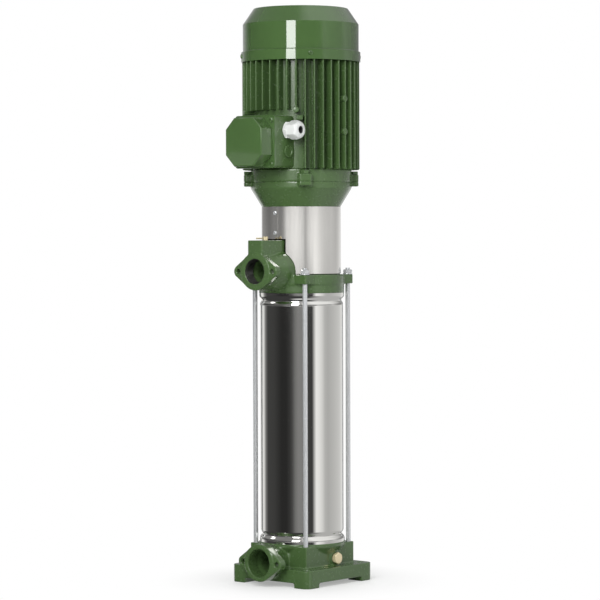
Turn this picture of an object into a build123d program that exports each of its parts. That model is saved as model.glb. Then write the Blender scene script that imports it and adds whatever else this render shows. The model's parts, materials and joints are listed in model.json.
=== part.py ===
from build123d import *
import math
import os

# Vertical multistage pump. Millimetres, +Z up along the shaft, both ports and the terminal box face -Y.
# The origin is on the pump axis, at the underside of the feet.

# Base casting
FOOT_HEIGHT = 8
FOOT_INNER_EDGE = 55
PLATE_THICKNESS = 22
PLATE_SIDE = 172
PLATE_CORNER_RADIUS = 12
ANCHOR_SPACING = 140
ANCHOR_HOLE_RADIUS = 6
BLOCK_SIDE = 125
BLOCK_TOP = 66
COLLAR_HEIGHT = 3
COLLAR_OVERHANG = 0.5
COLLAR_FLARE_INSET = 2
COLLAR_FLARE_HEIGHT = 16
CHAMBER_RADIUS = 46
CHAMBER_FLOOR = 17

# Ports
PORT_BOSS_RADIUS = 31.5
EAR_SPACING = 75
EAR_RADIUS = 10
EAR_HOLE_RADIUS = 4.25
EAR_SETBACK = 1.5
SUCTION_HEIGHT = 40
SUCTION_FACE = 112
SUCTION_FLANGE_THICKNESS = 16
SUCTION_THREAD_RADIUS = 22.4
SUCTION_THREAD_LENGTH = 22
SUCTION_NECK_RADIUS = 25.5
DISCHARGE_HEIGHT = 528
DISCHARGE_FACE = 120
DISCHARGE_FLANGE_THICKNESS = 14
DISCHARGE_THREAD_RADIUS = 19.5
DISCHARGE_THREAD_LENGTH = 20
DISCHARGE_NECK_RADIUS = 35.5
DISCHARGE_WAIST_RADIUS = 29.5
PORT_BORE_STEP = 1

# Drain plug, on the +X side of the base
DRAIN_OFFSET = 11
DRAIN_HEIGHT = 42
DRAIN_BOSS_RADIUS = 12.5
DRAIN_BOSS_LENGTH = 3
DRAIN_THREAD_RADIUS = 8
DRAIN_HEAD_ACROSS_FLATS = 18
DRAIN_HEAD_LENGTH = 7

# Outer casing
CASING_RADIUS = 71
CASING_WALL = 1.5
CASING_RING_RADIUS = 72.7
CASING_NECK_RADIUS = 67.6
CASING_TOP = 491
RING_HEIGHT = 6.5
NECK_DEPTH_BELOW_RING = 6.5
SHOULDER_ABOVE_NECK = 5
SPIGOT_HEIGHT = 4.8
SPIGOT_WALL = 4.4
O_RING_SECTION = 2.4

# Tie rods
ROD_CIRCLE_RADIUS = 79
ROD_RADIUS = 4
ROD_DEPTH_IN_BASE = 20
ROD_END_ABOVE_NUT = 3
WASHER_RADIUS = 8
WASHER_THICKNESS = 1.6
NUT_ACROSS_FLATS = 13
NUT_HEIGHT = 6.5

# Stages
STAGE_COUNT = 8
STAGE_PITCH = 45
FIRST_STAGE_BOTTOM = 96
BOWL_RADIUS = 65.5
BOWL_WALL = 3
BOWL_PLATE = 3
BOWL_LIP_HEIGHT = 1.8
BOWL_LIP_WIDTH = 3
DIFFUSER_DISC_LOW = 24
DIFFUSER_DISC_THICKNESS = 3
DIFFUSER_DISC_RADIUS = 56.5
VANE_COUNT = 8
VANE_THICKNESS = 2.4
VANE_CURVE_SHARE = 0.67
VANE_START_TURN = 8
IMPELLER_RADIUS = 50
IMPELLER_EYE_RADIUS = 22.5
IMPELLER_SKIRT_WALL = 2.5
IMPELLER_LIFT = 2
IMPELLER_BACK_HEIGHT = 20
IMPELLER_FRONT_HEIGHT = 6
IMPELLER_RIM_LIFT = 4
IMPELLER_HUB_FLARE = 6
IMPELLER_HUB_DROP = 3
BLADE_START_TURN = 16
BLADE_COUNT = 6
BLADE_THICKNESS = 2.2
BLADE_CURVE_RADIUS = 38
BLADE_INSET = 0.5
SHROUD_THICKNESS = 2
HUB_RADIUS = 12.5
BUSH_RADIUS = 16
BUSH_LENGTH = 8
BUSH_HOUSING_WALL = 4
SPIDER_ARM_COUNT = 4
SPIDER_ARM_WIDTH = 5

# Clearances
ROTATING_GAP = 1
RUNNING_FIT = 0.05
SEAT_FIT = 0.03
THREAD_FIT = 0.05
BOLT_GAP = 0.3
SHEET_GAP = 0.4
PORT_CLEARANCE = 1

# Shafts
PUMP_SHAFT_RADIUS = 9
PUMP_SHAFT_BOTTOM = 62
PUMP_SHAFT_TOP = 616
SHAFT_SHOULDER_LENGTH = 24
SHAFT_NUT_ACROSS_FLATS = 22
SHAFT_NUT_HEIGHT = 8
SLEEVE_BOTTOM = 74
MOTOR_SHAFT_RADIUS = 14
MOTOR_SHAFT_BOTTOM = 618
ROTOR_SHAFT_RADIUS = 20
FAN_SHAFT_RADIUS = 12.5

# Discharge head
SKIRT_RADIUS = 72.6
SKIRT_HEIGHT = 15
HEAD_FLANGE_THICKNESS = 16
HEAD_FLANGE_SIDE = 125
HEAD_FLANGE_ROUND = 73.5
HEAD_CHAMBER_RADIUS = 45
HEAD_DOME_RADIUS = 50
HEAD_DOME_TOP = 560
HEAD_DOME_ROOF = 8
HEAD_DOME_CHAMFER = 5
HEAD_FLANGE_CORNER_RADIUS = 2
TOWER_HALF_WIDTH = 16.5
TOWER_FRONT = 119
TOWER_BACK = 60
TOWER_TOP = 580
TOWER_CORNER_RADIUS = 3
PORT_FLOOR_ABOVE_CASING = 4
VENT_PLACE = 92
VENT_STEM_RADIUS = 4
VENT_PASSAGE_RADIUS = 2.5
VENT_STEM_LENGTH = 14
VENT_HEAD_RADIUS = 4.3
VENT_HEAD_HEIGHT = 6
VENT_BAR_RADIUS = 1.3
VENT_BAR_REACH = 20

# Mechanical seal
SEAT_RADIUS = 20
SEAT_BORE_RADIUS = 10.5
SEAT_LENGTH = 8
SEAT_RECESS = 5
SEAL_FACE_RADIUS = 15
SEAL_FACE_LENGTH = 6
SEAL_FACE_GAP = 0.05
BELLOWS_RADIUS = 14
BELLOWS_LENGTH = 22
BELLOWS_WAVES = 3
BELLOWS_COLLAR = 3
BELLOWS_WAVE_DEPTH = 3

# Coupling guard
GUARD_RADIUS = 67.3
GUARD_SHEET = 1
GUARD_TOP = 636.5
GUARD_STRIP_ANGLE = 11
GUARD_SEAM_ANGLE = 4.9
GUARD_SEAM_WIDTH = 0.6
GUARD_SCREW_HEIGHTS = (592, 626)
GUARD_SCREW_RADIUS = 1.8
GUARD_SCREW_HEAD_RADIUS = 3.8
GUARD_SCREW_HEAD_HEIGHT = 2
GUARD_SCREW_LENGTH = 5
GUARD_BOTTOM_GAP = 1.6
GUARD_TOWER_GAP = 4
GUARD_TOWER_TOP_GAP = 2.2

# Motor bracket
BRACKET_LEG_RADIUS = 65.9
BRACKET_LEG_INNER = 58
BRACKET_LEG_WIDTH = 17
BRACKET_RING_INNER = 52
BRACKET_RING_HEIGHT = 8
BRACKET_CONE_BOTTOM_RADIUS = 66.8
BRACKET_CONE_BOTTOM = 636.7
BRACKET_SOCKET_DEPTH = 8
BRACKET_CONE_TOP = 667.5
BRACKET_TOP_RADIUS = 85.5
BRACKET_TOP = 678
BRACKET_BORE_RADIUS = 55
BRACKET_THROAT_STEP = 5
BRACKET_THROAT_DROP = 6
BRACKET_BOLT_CIRCLE = 58.6
BRACKET_BOLT_RADIUS = 3
BRACKET_BOLT_ANGLES = (70, 110, 250, 290)
BRACKET_BOLT_LENGTH = 12
BRACKET_BOLT_HEAD_ACROSS_FLATS = 10
BRACKET_BOLT_HEAD_HEIGHT = 4

# Coupling
COUPLING_RADIUS = 30
COUPLING_BOTTOM = 580
COUPLING_TOP = 660
COUPLING_SPLIT = 1
COUPLING_BOLT_PLACE = 21.5
COUPLING_BOLT_RADIUS = 4
COUPLING_BOLT_HEIGHTS = (597, 643)
COUPLING_BOLT_HEAD_RADIUS = 6.5
COUPLING_BOLT_HEAD_HEIGHT = 8
COUPLING_NUT_HEIGHT = 6.5
COUPLING_HEAD_SEAT = 16
COUPLING_NUT_ACROSS_FLATS = 11.7

# Motor
SHIELD_RADIUS = 85.7
SHIELD_SPIGOT = 3.5
LUG_REACH = 97.3
LUG_WIDTH = 23.4
LUG_EDGE = 7.3
LUG_CORNER_RADIUS = 5
SHIELD_LUG_HEIGHT = 13
BRACKET_LUG_HEIGHT = 7
FLANGE_SCREW_RADIUS = 4
FLANGE_SCREW_HEAD_HEIGHT = 5.5
FLANGE_SCREW_SPOT_RADIUS = 8.5
FRAME_BOTTOM = 699
FRAME_TOP = 882
FRAME_BORE_RADIUS = 76
FRAME_WALL = 6
FIN_COUNT = 40
FIN_TIP_RADIUS = 99.5
FIN_ROOT_THICKNESS = 4
FIN_TIP_THICKNESS = 2.6
SHORT_FIN_BOTTOM = 797
SHORT_FIN_HALF_ANGLE = 40
FIN_BOSS_RADIUS = 5
PAD_HEIGHTS = (762, 817)
PAD_HEIGHT = 12
PAD_WIDTH = 9
EARTH_LUG_ANGLE = 39.5
EARTH_LUG_REACH = 96
EARTH_LUG_WIDTH = 11
EARTH_LUG_TOP = 788
EARTH_LUG_HEIGHT = 8
STATOR_INNER_RADIUS = 42
CORE_BOTTOM = 745
CORE_TOP = 845
STATOR_SLOT_COUNT = 24
STATOR_SLOT_WIDTH = 6
STATOR_SLOT_DEPTH = 17
STATOR_SLOT_OPENING = 2
WINDING_INNER_RADIUS = 48
WINDING_OUTER_RADIUS = 70
WINDING_HEIGHT = 23
WINDING_CHAMFER = 5
AIR_GAP = 0.5
END_RING_HEIGHT = 12
END_RING_INNER = 27
END_RING_INSET = 1.5
UPPER_SHIELD_INSET = 5.5
UPPER_SHIELD_THICKNESS = 16
UPPER_SHIELD_FLANGE = 6
UPPER_SHIELD_FLOOR = 4
COVER_LUG_WIDTH = 14
COVER_SCREW_TURN = 50
COVER_SCREW_HEIGHT = 891
COVER_SCREW_RADIUS = 2
COVER_SCREW_HEAD_RADIUS = 4
COVER_SCREW_HEAD_HEIGHT = 2.2
COVER_SCREW_LENGTH = 10

# Motor bearings
BEARING_OUTER_RADIUS = 31
BEARING_INNER_RADIUS = 15
BEARING_WIDTH = 16
BEARING_RING_WALL = 4.5
BEARING_SEAL_THICKNESS = 1
BEARING_SEAL_INSET = 0.5
LOWER_BEARING_BOTTOM = 681
UPPER_BEARING_BOTTOM = 878
BEARING_HOUSING_WALL = 6

# Fan and fan cover
COVER_BAND_STEP = 1.7
COVER_BAND_BOTTOM = 881
COVER_BAND_TOP = 898
COVER_INSET = 1.2
COVER_SHEET = 1.5
COVER_BEVEL_BOTTOM = 945
COVER_BEVEL_WIDTH = 18.1
COVER_TOP = 971.6
GRILLE_RING_COUNT = 4
GRILLE_FIRST_RADIUS = 14
GRILLE_SLOT = 8
GRILLE_PITCH = 14
GRILLE_SPOKE_COUNT = 6
GRILLE_SPOKE_WIDTH = 7
FAN_BOTTOM = 906
FAN_TIP_GAP = 10.8
FAN_HUB_RADIUS = 18
FAN_HUB_HEIGHT = 24
FAN_DISC_RADIUS = 62
FAN_DISC_THICKNESS = 3
FAN_BLADE_COUNT = 7
FAN_BLADE_HEIGHT = 28
FAN_BLADE_THICKNESS = 3

# Terminal box
BOX_HALF_WIDTH = 44
BOX_BOTTOM = 700
BOX_TOP = 788
BOX_STANDOFF = 14.5
BOX_BACK = 60
BOX_WALL = 5
BOX_FLOOR = 4
BOX_CORNER_RADIUS = 6
COVER_FLANGE_THICKNESS = 4
DOME_WIDTH = 80
DOME_HEIGHT = 81
DOME_CHAMFER = 19
DOME_DEPTH = 32.5
DOME_EDGE_RADIUS = 2
DOME_WALL = 3
COVER_DROP = 1
BOX_SCREW_X = 37
BOX_SCREW_Z = 36.5
BOX_SCREW_RADIUS = 2.5
BOX_SCREW_HEAD_RADIUS = 4.5
BOX_SCREW_HEAD_HEIGHT = 3
BOX_SCREW_LENGTH = 12
BOX_POST_RADIUS = 5
BLOCK_WIDTH = 50
BLOCK_HEIGHT = 38
BLOCK_DEPTH = 12
STUD_RADIUS = 2.5
STUD_LENGTH = 9
STUD_PITCH = 16

# Cable entries, on the +X side of the terminal box
GLAND_INSET = 29
GLAND_HEIGHT = 763
GLAND_HEX_ACROSS_FLATS = 26.5
GLAND_HEX_LENGTH = 8
GLAND_THREAD_RADIUS = 9
GLAND_BORE_RADIUS = 6.5
GLAND_NUT_ACROSS_FLATS = 27.5
GLAND_NUT_LENGTH = 21.5
GLAND_DOME_LENGTH = 6
GLAND_DOME_RADIUS = 8
BLANK_INSET = 29
BLANK_HEIGHT = 728
BLANK_RADIUS = 10.2
BLANK_SHANK_RADIUS = 7
BLANK_THICKNESS = 3.5
BLANK_RECESS_RADIUS = 7.4
BLANK_RECESS_DEPTH = 2

# Worked-out levels
PLATE_TOP = FOOT_HEIGHT + PLATE_THICKNESS
COLLAR_TOP = BLOCK_TOP + COLLAR_HEIGHT
COLLAR_RADIUS = CASING_RING_RADIUS + COLLAR_OVERHANG
SPIGOT_RADIUS = CASING_RING_RADIUS - CASING_WALL - BOLT_GAP
SPIGOT_INNER = SPIGOT_RADIUS - SPIGOT_WALL
HEAD_FLANGE_BOTTOM = CASING_TOP + SKIRT_HEIGHT
HEAD_FLANGE_TOP = HEAD_FLANGE_BOTTOM + HEAD_FLANGE_THICKNESS
ROD_TOP = HEAD_FLANGE_TOP + WASHER_THICKNESS + NUT_HEIGHT + ROD_END_ABOVE_NUT
LAST_STAGE_TOP = FIRST_STAGE_BOTTOM + STAGE_COUNT * STAGE_PITCH
HUB_TOP = LAST_STAGE_TOP + IMPELLER_LIFT
ROOF_BOTTOM = HEAD_DOME_TOP - HEAD_DOME_ROOF
SEAT_LEDGE = ROOF_BOTTOM + SEAT_RECESS
SEAT_BOTTOM = SEAT_LEDGE - SEAT_LENGTH
SEAL_FACE_TOP = SEAT_BOTTOM - SEAL_FACE_GAP
SEAL_FACE_BOTTOM = SEAL_FACE_TOP - SEAL_FACE_LENGTH
FLANGE_SCREW_CIRCLE = LUG_REACH - LUG_EDGE
UPPER_SHIELD_RADIUS = FIN_TIP_RADIUS - UPPER_SHIELD_INSET
COVER_BAND_RADIUS = FIN_TIP_RADIUS + COVER_BAND_STEP
COVER_RADIUS = FIN_TIP_RADIUS - COVER_INSET
COVER_TOP_RADIUS = COVER_RADIUS - COVER_BEVEL_WIDTH
FAN_RADIUS = COVER_RADIUS - COVER_SHEET - FAN_TIP_GAP
BOX_FACE = FIN_TIP_RADIUS + BOX_STANDOFF
BOX_MIDDLE = (BOX_BOTTOM + BOX_TOP) / 2 - COVER_DROP
DOME_FACE = BOX_FACE + DOME_DEPTH
GLAND_PLACE = BOX_FACE - GLAND_INSET
BLANK_PLACE = BOX_FACE - BLANK_INSET
CORNER_ANGLES = (45, 135, 225, 315)
COVER_ANGLES = tuple(COVER_SCREW_TURN + 90 * turn for turn in range(4))


def at_angle(radius, angle, height=0):
    """A place on a circle about the pump axis; the angle is counted from -Y towards +X."""
    turn = math.radians(angle)
    return Pos(radius * math.sin(turn), -radius * math.cos(turn), height)


def turned(shape, angle):
    """A shape built towards -Y, turned to its angle from -Y towards +X."""
    return Rot(0, 0, angle) * shape


def rod_z(radius, low, high):
    return Pos(0, 0, (low + high) / 2) * Cylinder(radius, high - low)


def tube_z(outer, inner, low, high):
    return rod_z(outer, low, high) - rod_z(inner, low - 1, high + 1)


def rod_y(radius, front, back, height):
    """A cylinder along Y at X = 0; front and back are distances towards -Y."""
    return Pos(0, -(front + back) / 2, height) * Rot(90, 0, 0) * Cylinder(radius, front - back)


def rod_x(radius, low, high, front, height):
    return Pos((low + high) / 2, -front, height) * Rot(0, 90, 0) * Cylinder(radius, high - low)


def block(x_low, x_high, front, back, z_low, z_high):
    """A box; front and back are distances towards -Y."""
    size = (x_high - x_low, front - back, z_high - z_low)
    centre = Pos((x_low + x_high) / 2, -(front + back) / 2, (z_low + z_high) / 2)
    return centre * Box(*size)


def turned_profile(*points):
    """A solid of revolution about the pump axis from (radius, height) points."""
    return revolve(Plane.XZ * make_face(Polyline(*points, close=True)), Axis.Z)


def hexagon(across_flats, height):
    return extrude(RegularPolygon(across_flats / 2, 6, major_radius=False), height)


def at_corners(radius, shape):
    return [at_angle(radius, angle) * shape for angle in CORNER_ANGLES]


def write(name, *solids):
    shapes = []
    for shape in solids:
        shapes.extend(shape.solids())
    whole = shapes[0] if len(shapes) == 1 else Compound(children=shapes)
    export_step(whole, f"parts/{name}.step")


def oval_flange(face, thickness, height):
    """The oval port flange: a round boss and two ears set back from its face, in common tangents."""
    half = EAR_SPACING / 2
    lean = math.acos((PORT_BOSS_RADIUS - EAR_RADIUS) / half)
    boss = (PORT_BOSS_RADIUS * math.cos(lean), PORT_BOSS_RADIUS * math.sin(lean))
    ear = (half + EAR_RADIUS * math.cos(lean), EAR_RADIUS * math.sin(lean))
    web = make_face(Polyline(boss, ear, (ear[0], -ear[1]), (boss[0], -boss[1]), close=True))
    outline = Circle(PORT_BOSS_RADIUS) + web + mirror(web, Plane.YZ)
    outline += [Pos(side * half, 0) * Circle(EAR_RADIUS) for side in (-1, 1)]
    outline -= [Pos(side * half, 0) * Circle(EAR_HOLE_RADIUS) for side in (-1, 1)]
    standing = Plane((0, EAR_SETBACK - face, height), x_dir=(1, 0, 0), z_dir=(0, 1, 0))
    ears = extrude(standing * outline, thickness - EAR_SETBACK)
    return ears + rod_y(PORT_BOSS_RADIUS, face, face - thickness, height) - [
        Pos(side * half, 0, 0) * rod_y(EAR_HOLE_RADIUS, face + 1, face - thickness - 1, height)
        for side in (-1, 1)]


def cone_y(front_radius, front, back_radius, back, height):
    """A cone along Y between two places towards -Y."""
    shape = Rot(90, 0, 0) * Cone(back_radius, front_radius, front - back)
    return Pos(0, -(front + back) / 2, height) * shape


def base():
    """Feet, plate, block with round collar, inlet chamber, suction port and drain boss."""
    outline = RectangleRounded(PLATE_SIDE, PLATE_SIDE, PLATE_CORNER_RADIUS)
    shape = Pos(0, 0, FOOT_HEIGHT) * extrude(outline, PLATE_THICKNESS)
    feet = extrude(outline, FOOT_HEIGHT)
    feet -= Box(2 * FOOT_INNER_EDGE, 2 * PLATE_SIDE, 4 * FOOT_HEIGHT)
    feet -= Box(2 * PLATE_SIDE, 2 * FOOT_INNER_EDGE, 4 * FOOT_HEIGHT)
    half = BLOCK_SIDE / 2
    shape += feet
    shape += block(-half, half, half, -half, PLATE_TOP - 1, BLOCK_TOP)
    start = half - COLLAR_FLARE_INSET
    collar_low = BLOCK_TOP - COLLAR_HEIGHT
    flare_low = collar_low - COLLAR_FLARE_HEIGHT
    shape += turned_profile(
        (0, flare_low), (start, flare_low), (COLLAR_RADIUS, collar_low),
        (COLLAR_RADIUS, COLLAR_TOP), (0, COLLAR_TOP))
    shape += rod_z(SPIGOT_RADIUS, COLLAR_TOP - 1, COLLAR_TOP + SPIGOT_HEIGHT)
    shape += oval_flange(SUCTION_FACE, SUCTION_FLANGE_THICKNESS, SUCTION_HEIGHT)
    flange_back = SUCTION_FACE - SUCTION_FLANGE_THICKNESS
    shape += cone_y(PORT_BOSS_RADIUS, flange_back, SUCTION_NECK_RADIUS, half + 8, SUCTION_HEIGHT)
    shape += rod_y(SUCTION_NECK_RADIUS, half + 9, CHAMBER_RADIUS - 1, SUCTION_HEIGHT)
    shape += rod_x(DRAIN_BOSS_RADIUS, half - 1, half + DRAIN_BOSS_LENGTH, -DRAIN_OFFSET, DRAIN_HEIGHT)
    shape -= rod_z(CHAMBER_RADIUS, CHAMBER_FLOOR, COLLAR_TOP + 1)
    shape -= rod_z(SPIGOT_INNER, COLLAR_TOP, COLLAR_TOP + SPIGOT_HEIGHT + 1)
    shape -= o_ring_groove(COLLAR_TOP)
    shape -= rod_y(SUCTION_THREAD_RADIUS, SUCTION_FACE + 1, SUCTION_FACE - SUCTION_THREAD_LENGTH,
                   SUCTION_HEIGHT)
    shape -= rod_y(SUCTION_THREAD_RADIUS - PORT_BORE_STEP, SUCTION_FACE, 0, SUCTION_HEIGHT)
    drain_hole = DRAIN_THREAD_RADIUS + THREAD_FIT
    shape -= rod_x(drain_hole, 0, half + DRAIN_BOSS_LENGTH + 1, -DRAIN_OFFSET, DRAIN_HEIGHT)
    half_spacing = ANCHOR_SPACING / 2
    for x_sign in (-1, 1):
        for y_sign in (-1, 1):
            place = Pos(x_sign * half_spacing, y_sign * half_spacing, 0)
            shape -= place * rod_z(ANCHOR_HOLE_RADIUS, -1, PLATE_TOP + 1)
    for angle in CORNER_ANGLES:
        hole = rod_z(ROD_RADIUS + THREAD_FIT, BLOCK_TOP - ROD_DEPTH_IN_BASE, BLOCK_TOP + 1)
        shape -= at_angle(ROD_CIRCLE_RADIUS, angle) * hole
    return shape


def o_ring_band(level):
    """Lowest and highest level of the groove in a spigot that starts at this level."""
    middle = level + SPIGOT_HEIGHT / 2
    return middle - O_RING_SECTION / 2, middle + O_RING_SECTION / 2


def o_ring_groove(level):
    low, high = o_ring_band(level)
    return tube_z(SPIGOT_RADIUS + 1, SPIGOT_RADIUS - O_RING_SECTION + BOLT_GAP, low, high)


def o_ring(level):
    """A soft ring with chamfered corners that fills its groove up to the casing wall."""
    low, high = o_ring_band(level)
    outer = SPIGOT_RADIUS + BOLT_GAP - RUNNING_FIT
    inner = SPIGOT_RADIUS - O_RING_SECTION + BOLT_GAP + RUNNING_FIT
    low, high = low + RUNNING_FIT, high - RUNNING_FIT
    nip = O_RING_SECTION / 4
    return turned_profile(
        (inner + nip, low), (outer - nip, low), (outer, low + nip), (outer, high - nip),
        (outer - nip, high), (inner + nip, high), (inner, high - nip), (inner, low + nip))


def drain_plug():
    seat = BLOCK_SIDE / 2 + DRAIN_BOSS_LENGTH
    head = hexagon(DRAIN_HEAD_ACROSS_FLATS, DRAIN_HEAD_LENGTH)
    head = Pos(seat, DRAIN_OFFSET, DRAIN_HEIGHT) * Rot(0, 90, 0) * head
    return head + rod_x(DRAIN_THREAD_RADIUS, seat - DRAIN_THREAD_RADIUS * 2, seat + 1, -DRAIN_OFFSET,
                        DRAIN_HEIGHT)


def outer_casing():
    """Rolled tube: a straight ring at each end, a rolled neck, a shoulder and the long barrel."""
    ring = CASING_RING_RADIUS
    bottom, top = COLLAR_TOP, CASING_TOP
    steps = (RING_HEIGHT, RING_HEIGHT + NECK_DEPTH_BELOW_RING,
             RING_HEIGHT + NECK_DEPTH_BELOW_RING + SHOULDER_ABOVE_NECK)
    outer = [(ring, bottom), (ring, bottom + steps[0]), (CASING_NECK_RADIUS, bottom + steps[1]),
             (CASING_RADIUS, bottom + steps[2]), (CASING_RADIUS, top - steps[2]),
             (CASING_NECK_RADIUS, top - steps[1]), (ring, top - steps[0]), (ring, top)]
    slope = (ring - CASING_NECK_RADIUS) / NECK_DEPTH_BELOW_RING
    slant = CASING_WALL * (math.sqrt(1 + slope**2) - 1) / slope
    inner = [(radius - CASING_WALL, height) for radius, height in outer]
    inner[1] = (inner[1][0], inner[1][1] - slant)
    inner[-2] = (inner[-2][0], inner[-2][1] + slant)
    return turned_profile(*outer, *reversed(inner))


def impeller():
    """Closed impeller at the bottom of its stage: two shrouds, curved blades and a long hub."""
    eye, skirt = IMPELLER_EYE_RADIUS, IMPELLER_EYE_RADIUS + IMPELLER_SKIRT_WALL
    bore = PUMP_SHAFT_RADIUS + SEAT_FIT
    low, back = IMPELLER_FRONT_HEIGHT, IMPELLER_BACK_HEIGHT
    rim = low + IMPELLER_RIM_LIFT
    flare = HUB_RADIUS + IMPELLER_HUB_FLARE
    front = turned_profile(
        (eye, 1), (skirt, 1), (skirt, low), (IMPELLER_RADIUS, rim),
        (IMPELLER_RADIUS, rim + SHROUD_THICKNESS), (skirt, low + SHROUD_THICKNESS),
        (eye, low + SHROUD_THICKNESS - 1))
    top = back + SHROUD_THICKNESS
    rear = turned_profile(
        (bore, IMPELLER_LIFT), (HUB_RADIUS, IMPELLER_LIFT), (HUB_RADIUS, back - IMPELLER_HUB_DROP),
        (flare, back), (IMPELLER_RADIUS, back), (IMPELLER_RADIUS, top),
        (HUB_RADIUS, top), (HUB_RADIUS, STAGE_PITCH + IMPELLER_LIFT),
        (bore, STAGE_PITCH + IMPELLER_LIFT))
    channel = turned_profile(
        (flare, low + 1), (skirt, low + 1), (IMPELLER_RADIUS - BLADE_INSET, rim + 1),
        (IMPELLER_RADIUS - BLADE_INSET, back + 1), (flare, back + 1))
    curve = Circle(BLADE_CURVE_RADIUS) - Circle(BLADE_CURVE_RADIUS - BLADE_THICKNESS)
    curve &= Pos(BLADE_CURVE_RADIUS, BLADE_CURVE_RADIUS) * Rectangle(
        2 * BLADE_CURVE_RADIUS, 2 * BLADE_CURVE_RADIUS)
    blade = extrude(Pos(HUB_RADIUS, BLADE_START_TURN - BLADE_CURVE_RADIUS) * curve, back + 2) & channel
    shape = front + rear
    for turn in range(BLADE_COUNT):
        shape += Rot(0, 0, 360 / BLADE_COUNT * turn) * blade
    return shape


def bowl_wall(height, lip=True):
    """The outer wall of a bowl, with the lip that enters the bowl below it."""
    inner = BOWL_RADIUS - BOWL_WALL
    wall = tube_z(BOWL_RADIUS, inner, 0, height)
    if lip:
        register = inner - BOLT_GAP
        wall += tube_z(register, register - BOWL_LIP_WIDTH, -BOWL_LIP_HEIGHT, 1)
        wall += tube_z(inner + 1, register - BOWL_LIP_WIDTH, 0, BOWL_PLATE)
    return wall


def stage_bowl():
    """Outer wall, floor round the impeller eye, and a disc with curved guide vanes above it."""
    inner = BOWL_RADIUS - BOWL_WALL
    eye = IMPELLER_EYE_RADIUS + IMPELLER_SKIRT_WALL + ROTATING_GAP
    disc_top = DIFFUSER_DISC_LOW + DIFFUSER_DISC_THICKNESS
    housing = BUSH_RADIUS + BUSH_HOUSING_WALL
    shape = bowl_wall(STAGE_PITCH) + tube_z(inner + 1, eye, 0, BOWL_PLATE)
    shape += rod_z(DIFFUSER_DISC_RADIUS, DIFFUSER_DISC_LOW, disc_top)
    shape += rod_z(housing, DIFFUSER_DISC_LOW, DIFFUSER_DISC_LOW + BUSH_LENGTH)
    curve_radius = inner * VANE_CURVE_SHARE
    arc = Circle(curve_radius) - Circle(curve_radius - VANE_THICKNESS)
    arc &= Pos(curve_radius, curve_radius) * Rectangle(2 * curve_radius, 2 * curve_radius)
    vane_top = STAGE_PITCH - BOWL_LIP_HEIGHT - BOLT_GAP
    vane = Pos(0, 0, disc_top - 1) * extrude(
        Pos(housing - 1, VANE_START_TURN - curve_radius) * arc, vane_top - disc_top + 1)
    vane &= rod_z(inner + 1, 0, STAGE_PITCH)
    for turn in range(VANE_COUNT):
        shape += Rot(0, 0, 360 / VANE_COUNT * turn) * vane
    shape -= rod_z(BUSH_RADIUS + SEAT_FIT, DIFFUSER_DISC_LOW - 1, STAGE_PITCH)
    return shape


def spider_bowl(low, high, hub_low, hub_high, lip):
    """A bowl with a central bush housing on radial arms."""
    inner = BOWL_RADIUS - BOWL_WALL
    housing = BUSH_RADIUS + BUSH_HOUSING_WALL
    shape = Pos(0, 0, low) * bowl_wall(high - low, lip)
    shape += rod_z(housing, hub_low, hub_high)
    for turn in range(SPIDER_ARM_COUNT):
        arm = block(-SPIDER_ARM_WIDTH / 2, SPIDER_ARM_WIDTH / 2, inner + 1, housing - 1,
                    hub_low, hub_high)
        shape += turned(arm, 45 + 360 / SPIDER_ARM_COUNT * turn)
    return shape - rod_z(BUSH_RADIUS + SEAT_FIT, hub_low - 1, hub_high + 1)


def bush(low, length):
    return tube_z(BUSH_RADIUS, HUB_RADIUS + RUNNING_FIT, low, low + length)


def pump_shaft():
    """Plain shaft with the shoulder that the impeller hubs are clamped against."""
    shaft = rod_z(PUMP_SHAFT_RADIUS, PUMP_SHAFT_BOTTOM, PUMP_SHAFT_TOP)
    return shaft + rod_z(HUB_RADIUS, HUB_TOP, HUB_TOP + SHAFT_SHOULDER_LENGTH)


def shaft_nut():
    """Sleeve below the first hub, with the hexagon that clamps the stack."""
    low = SLEEVE_BOTTOM - SHAFT_NUT_HEIGHT
    shape = Pos(0, 0, low) * hexagon(SHAFT_NUT_ACROSS_FLATS, SHAFT_NUT_HEIGHT)
    shape += rod_z(HUB_RADIUS, SLEEVE_BOTTOM, FIRST_STAGE_BOTTOM + IMPELLER_LIFT)
    return shape - rod_z(PUMP_SHAFT_RADIUS + SEAT_FIT, low - 1, FIRST_STAGE_BOTTOM + STAGE_PITCH)


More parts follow.
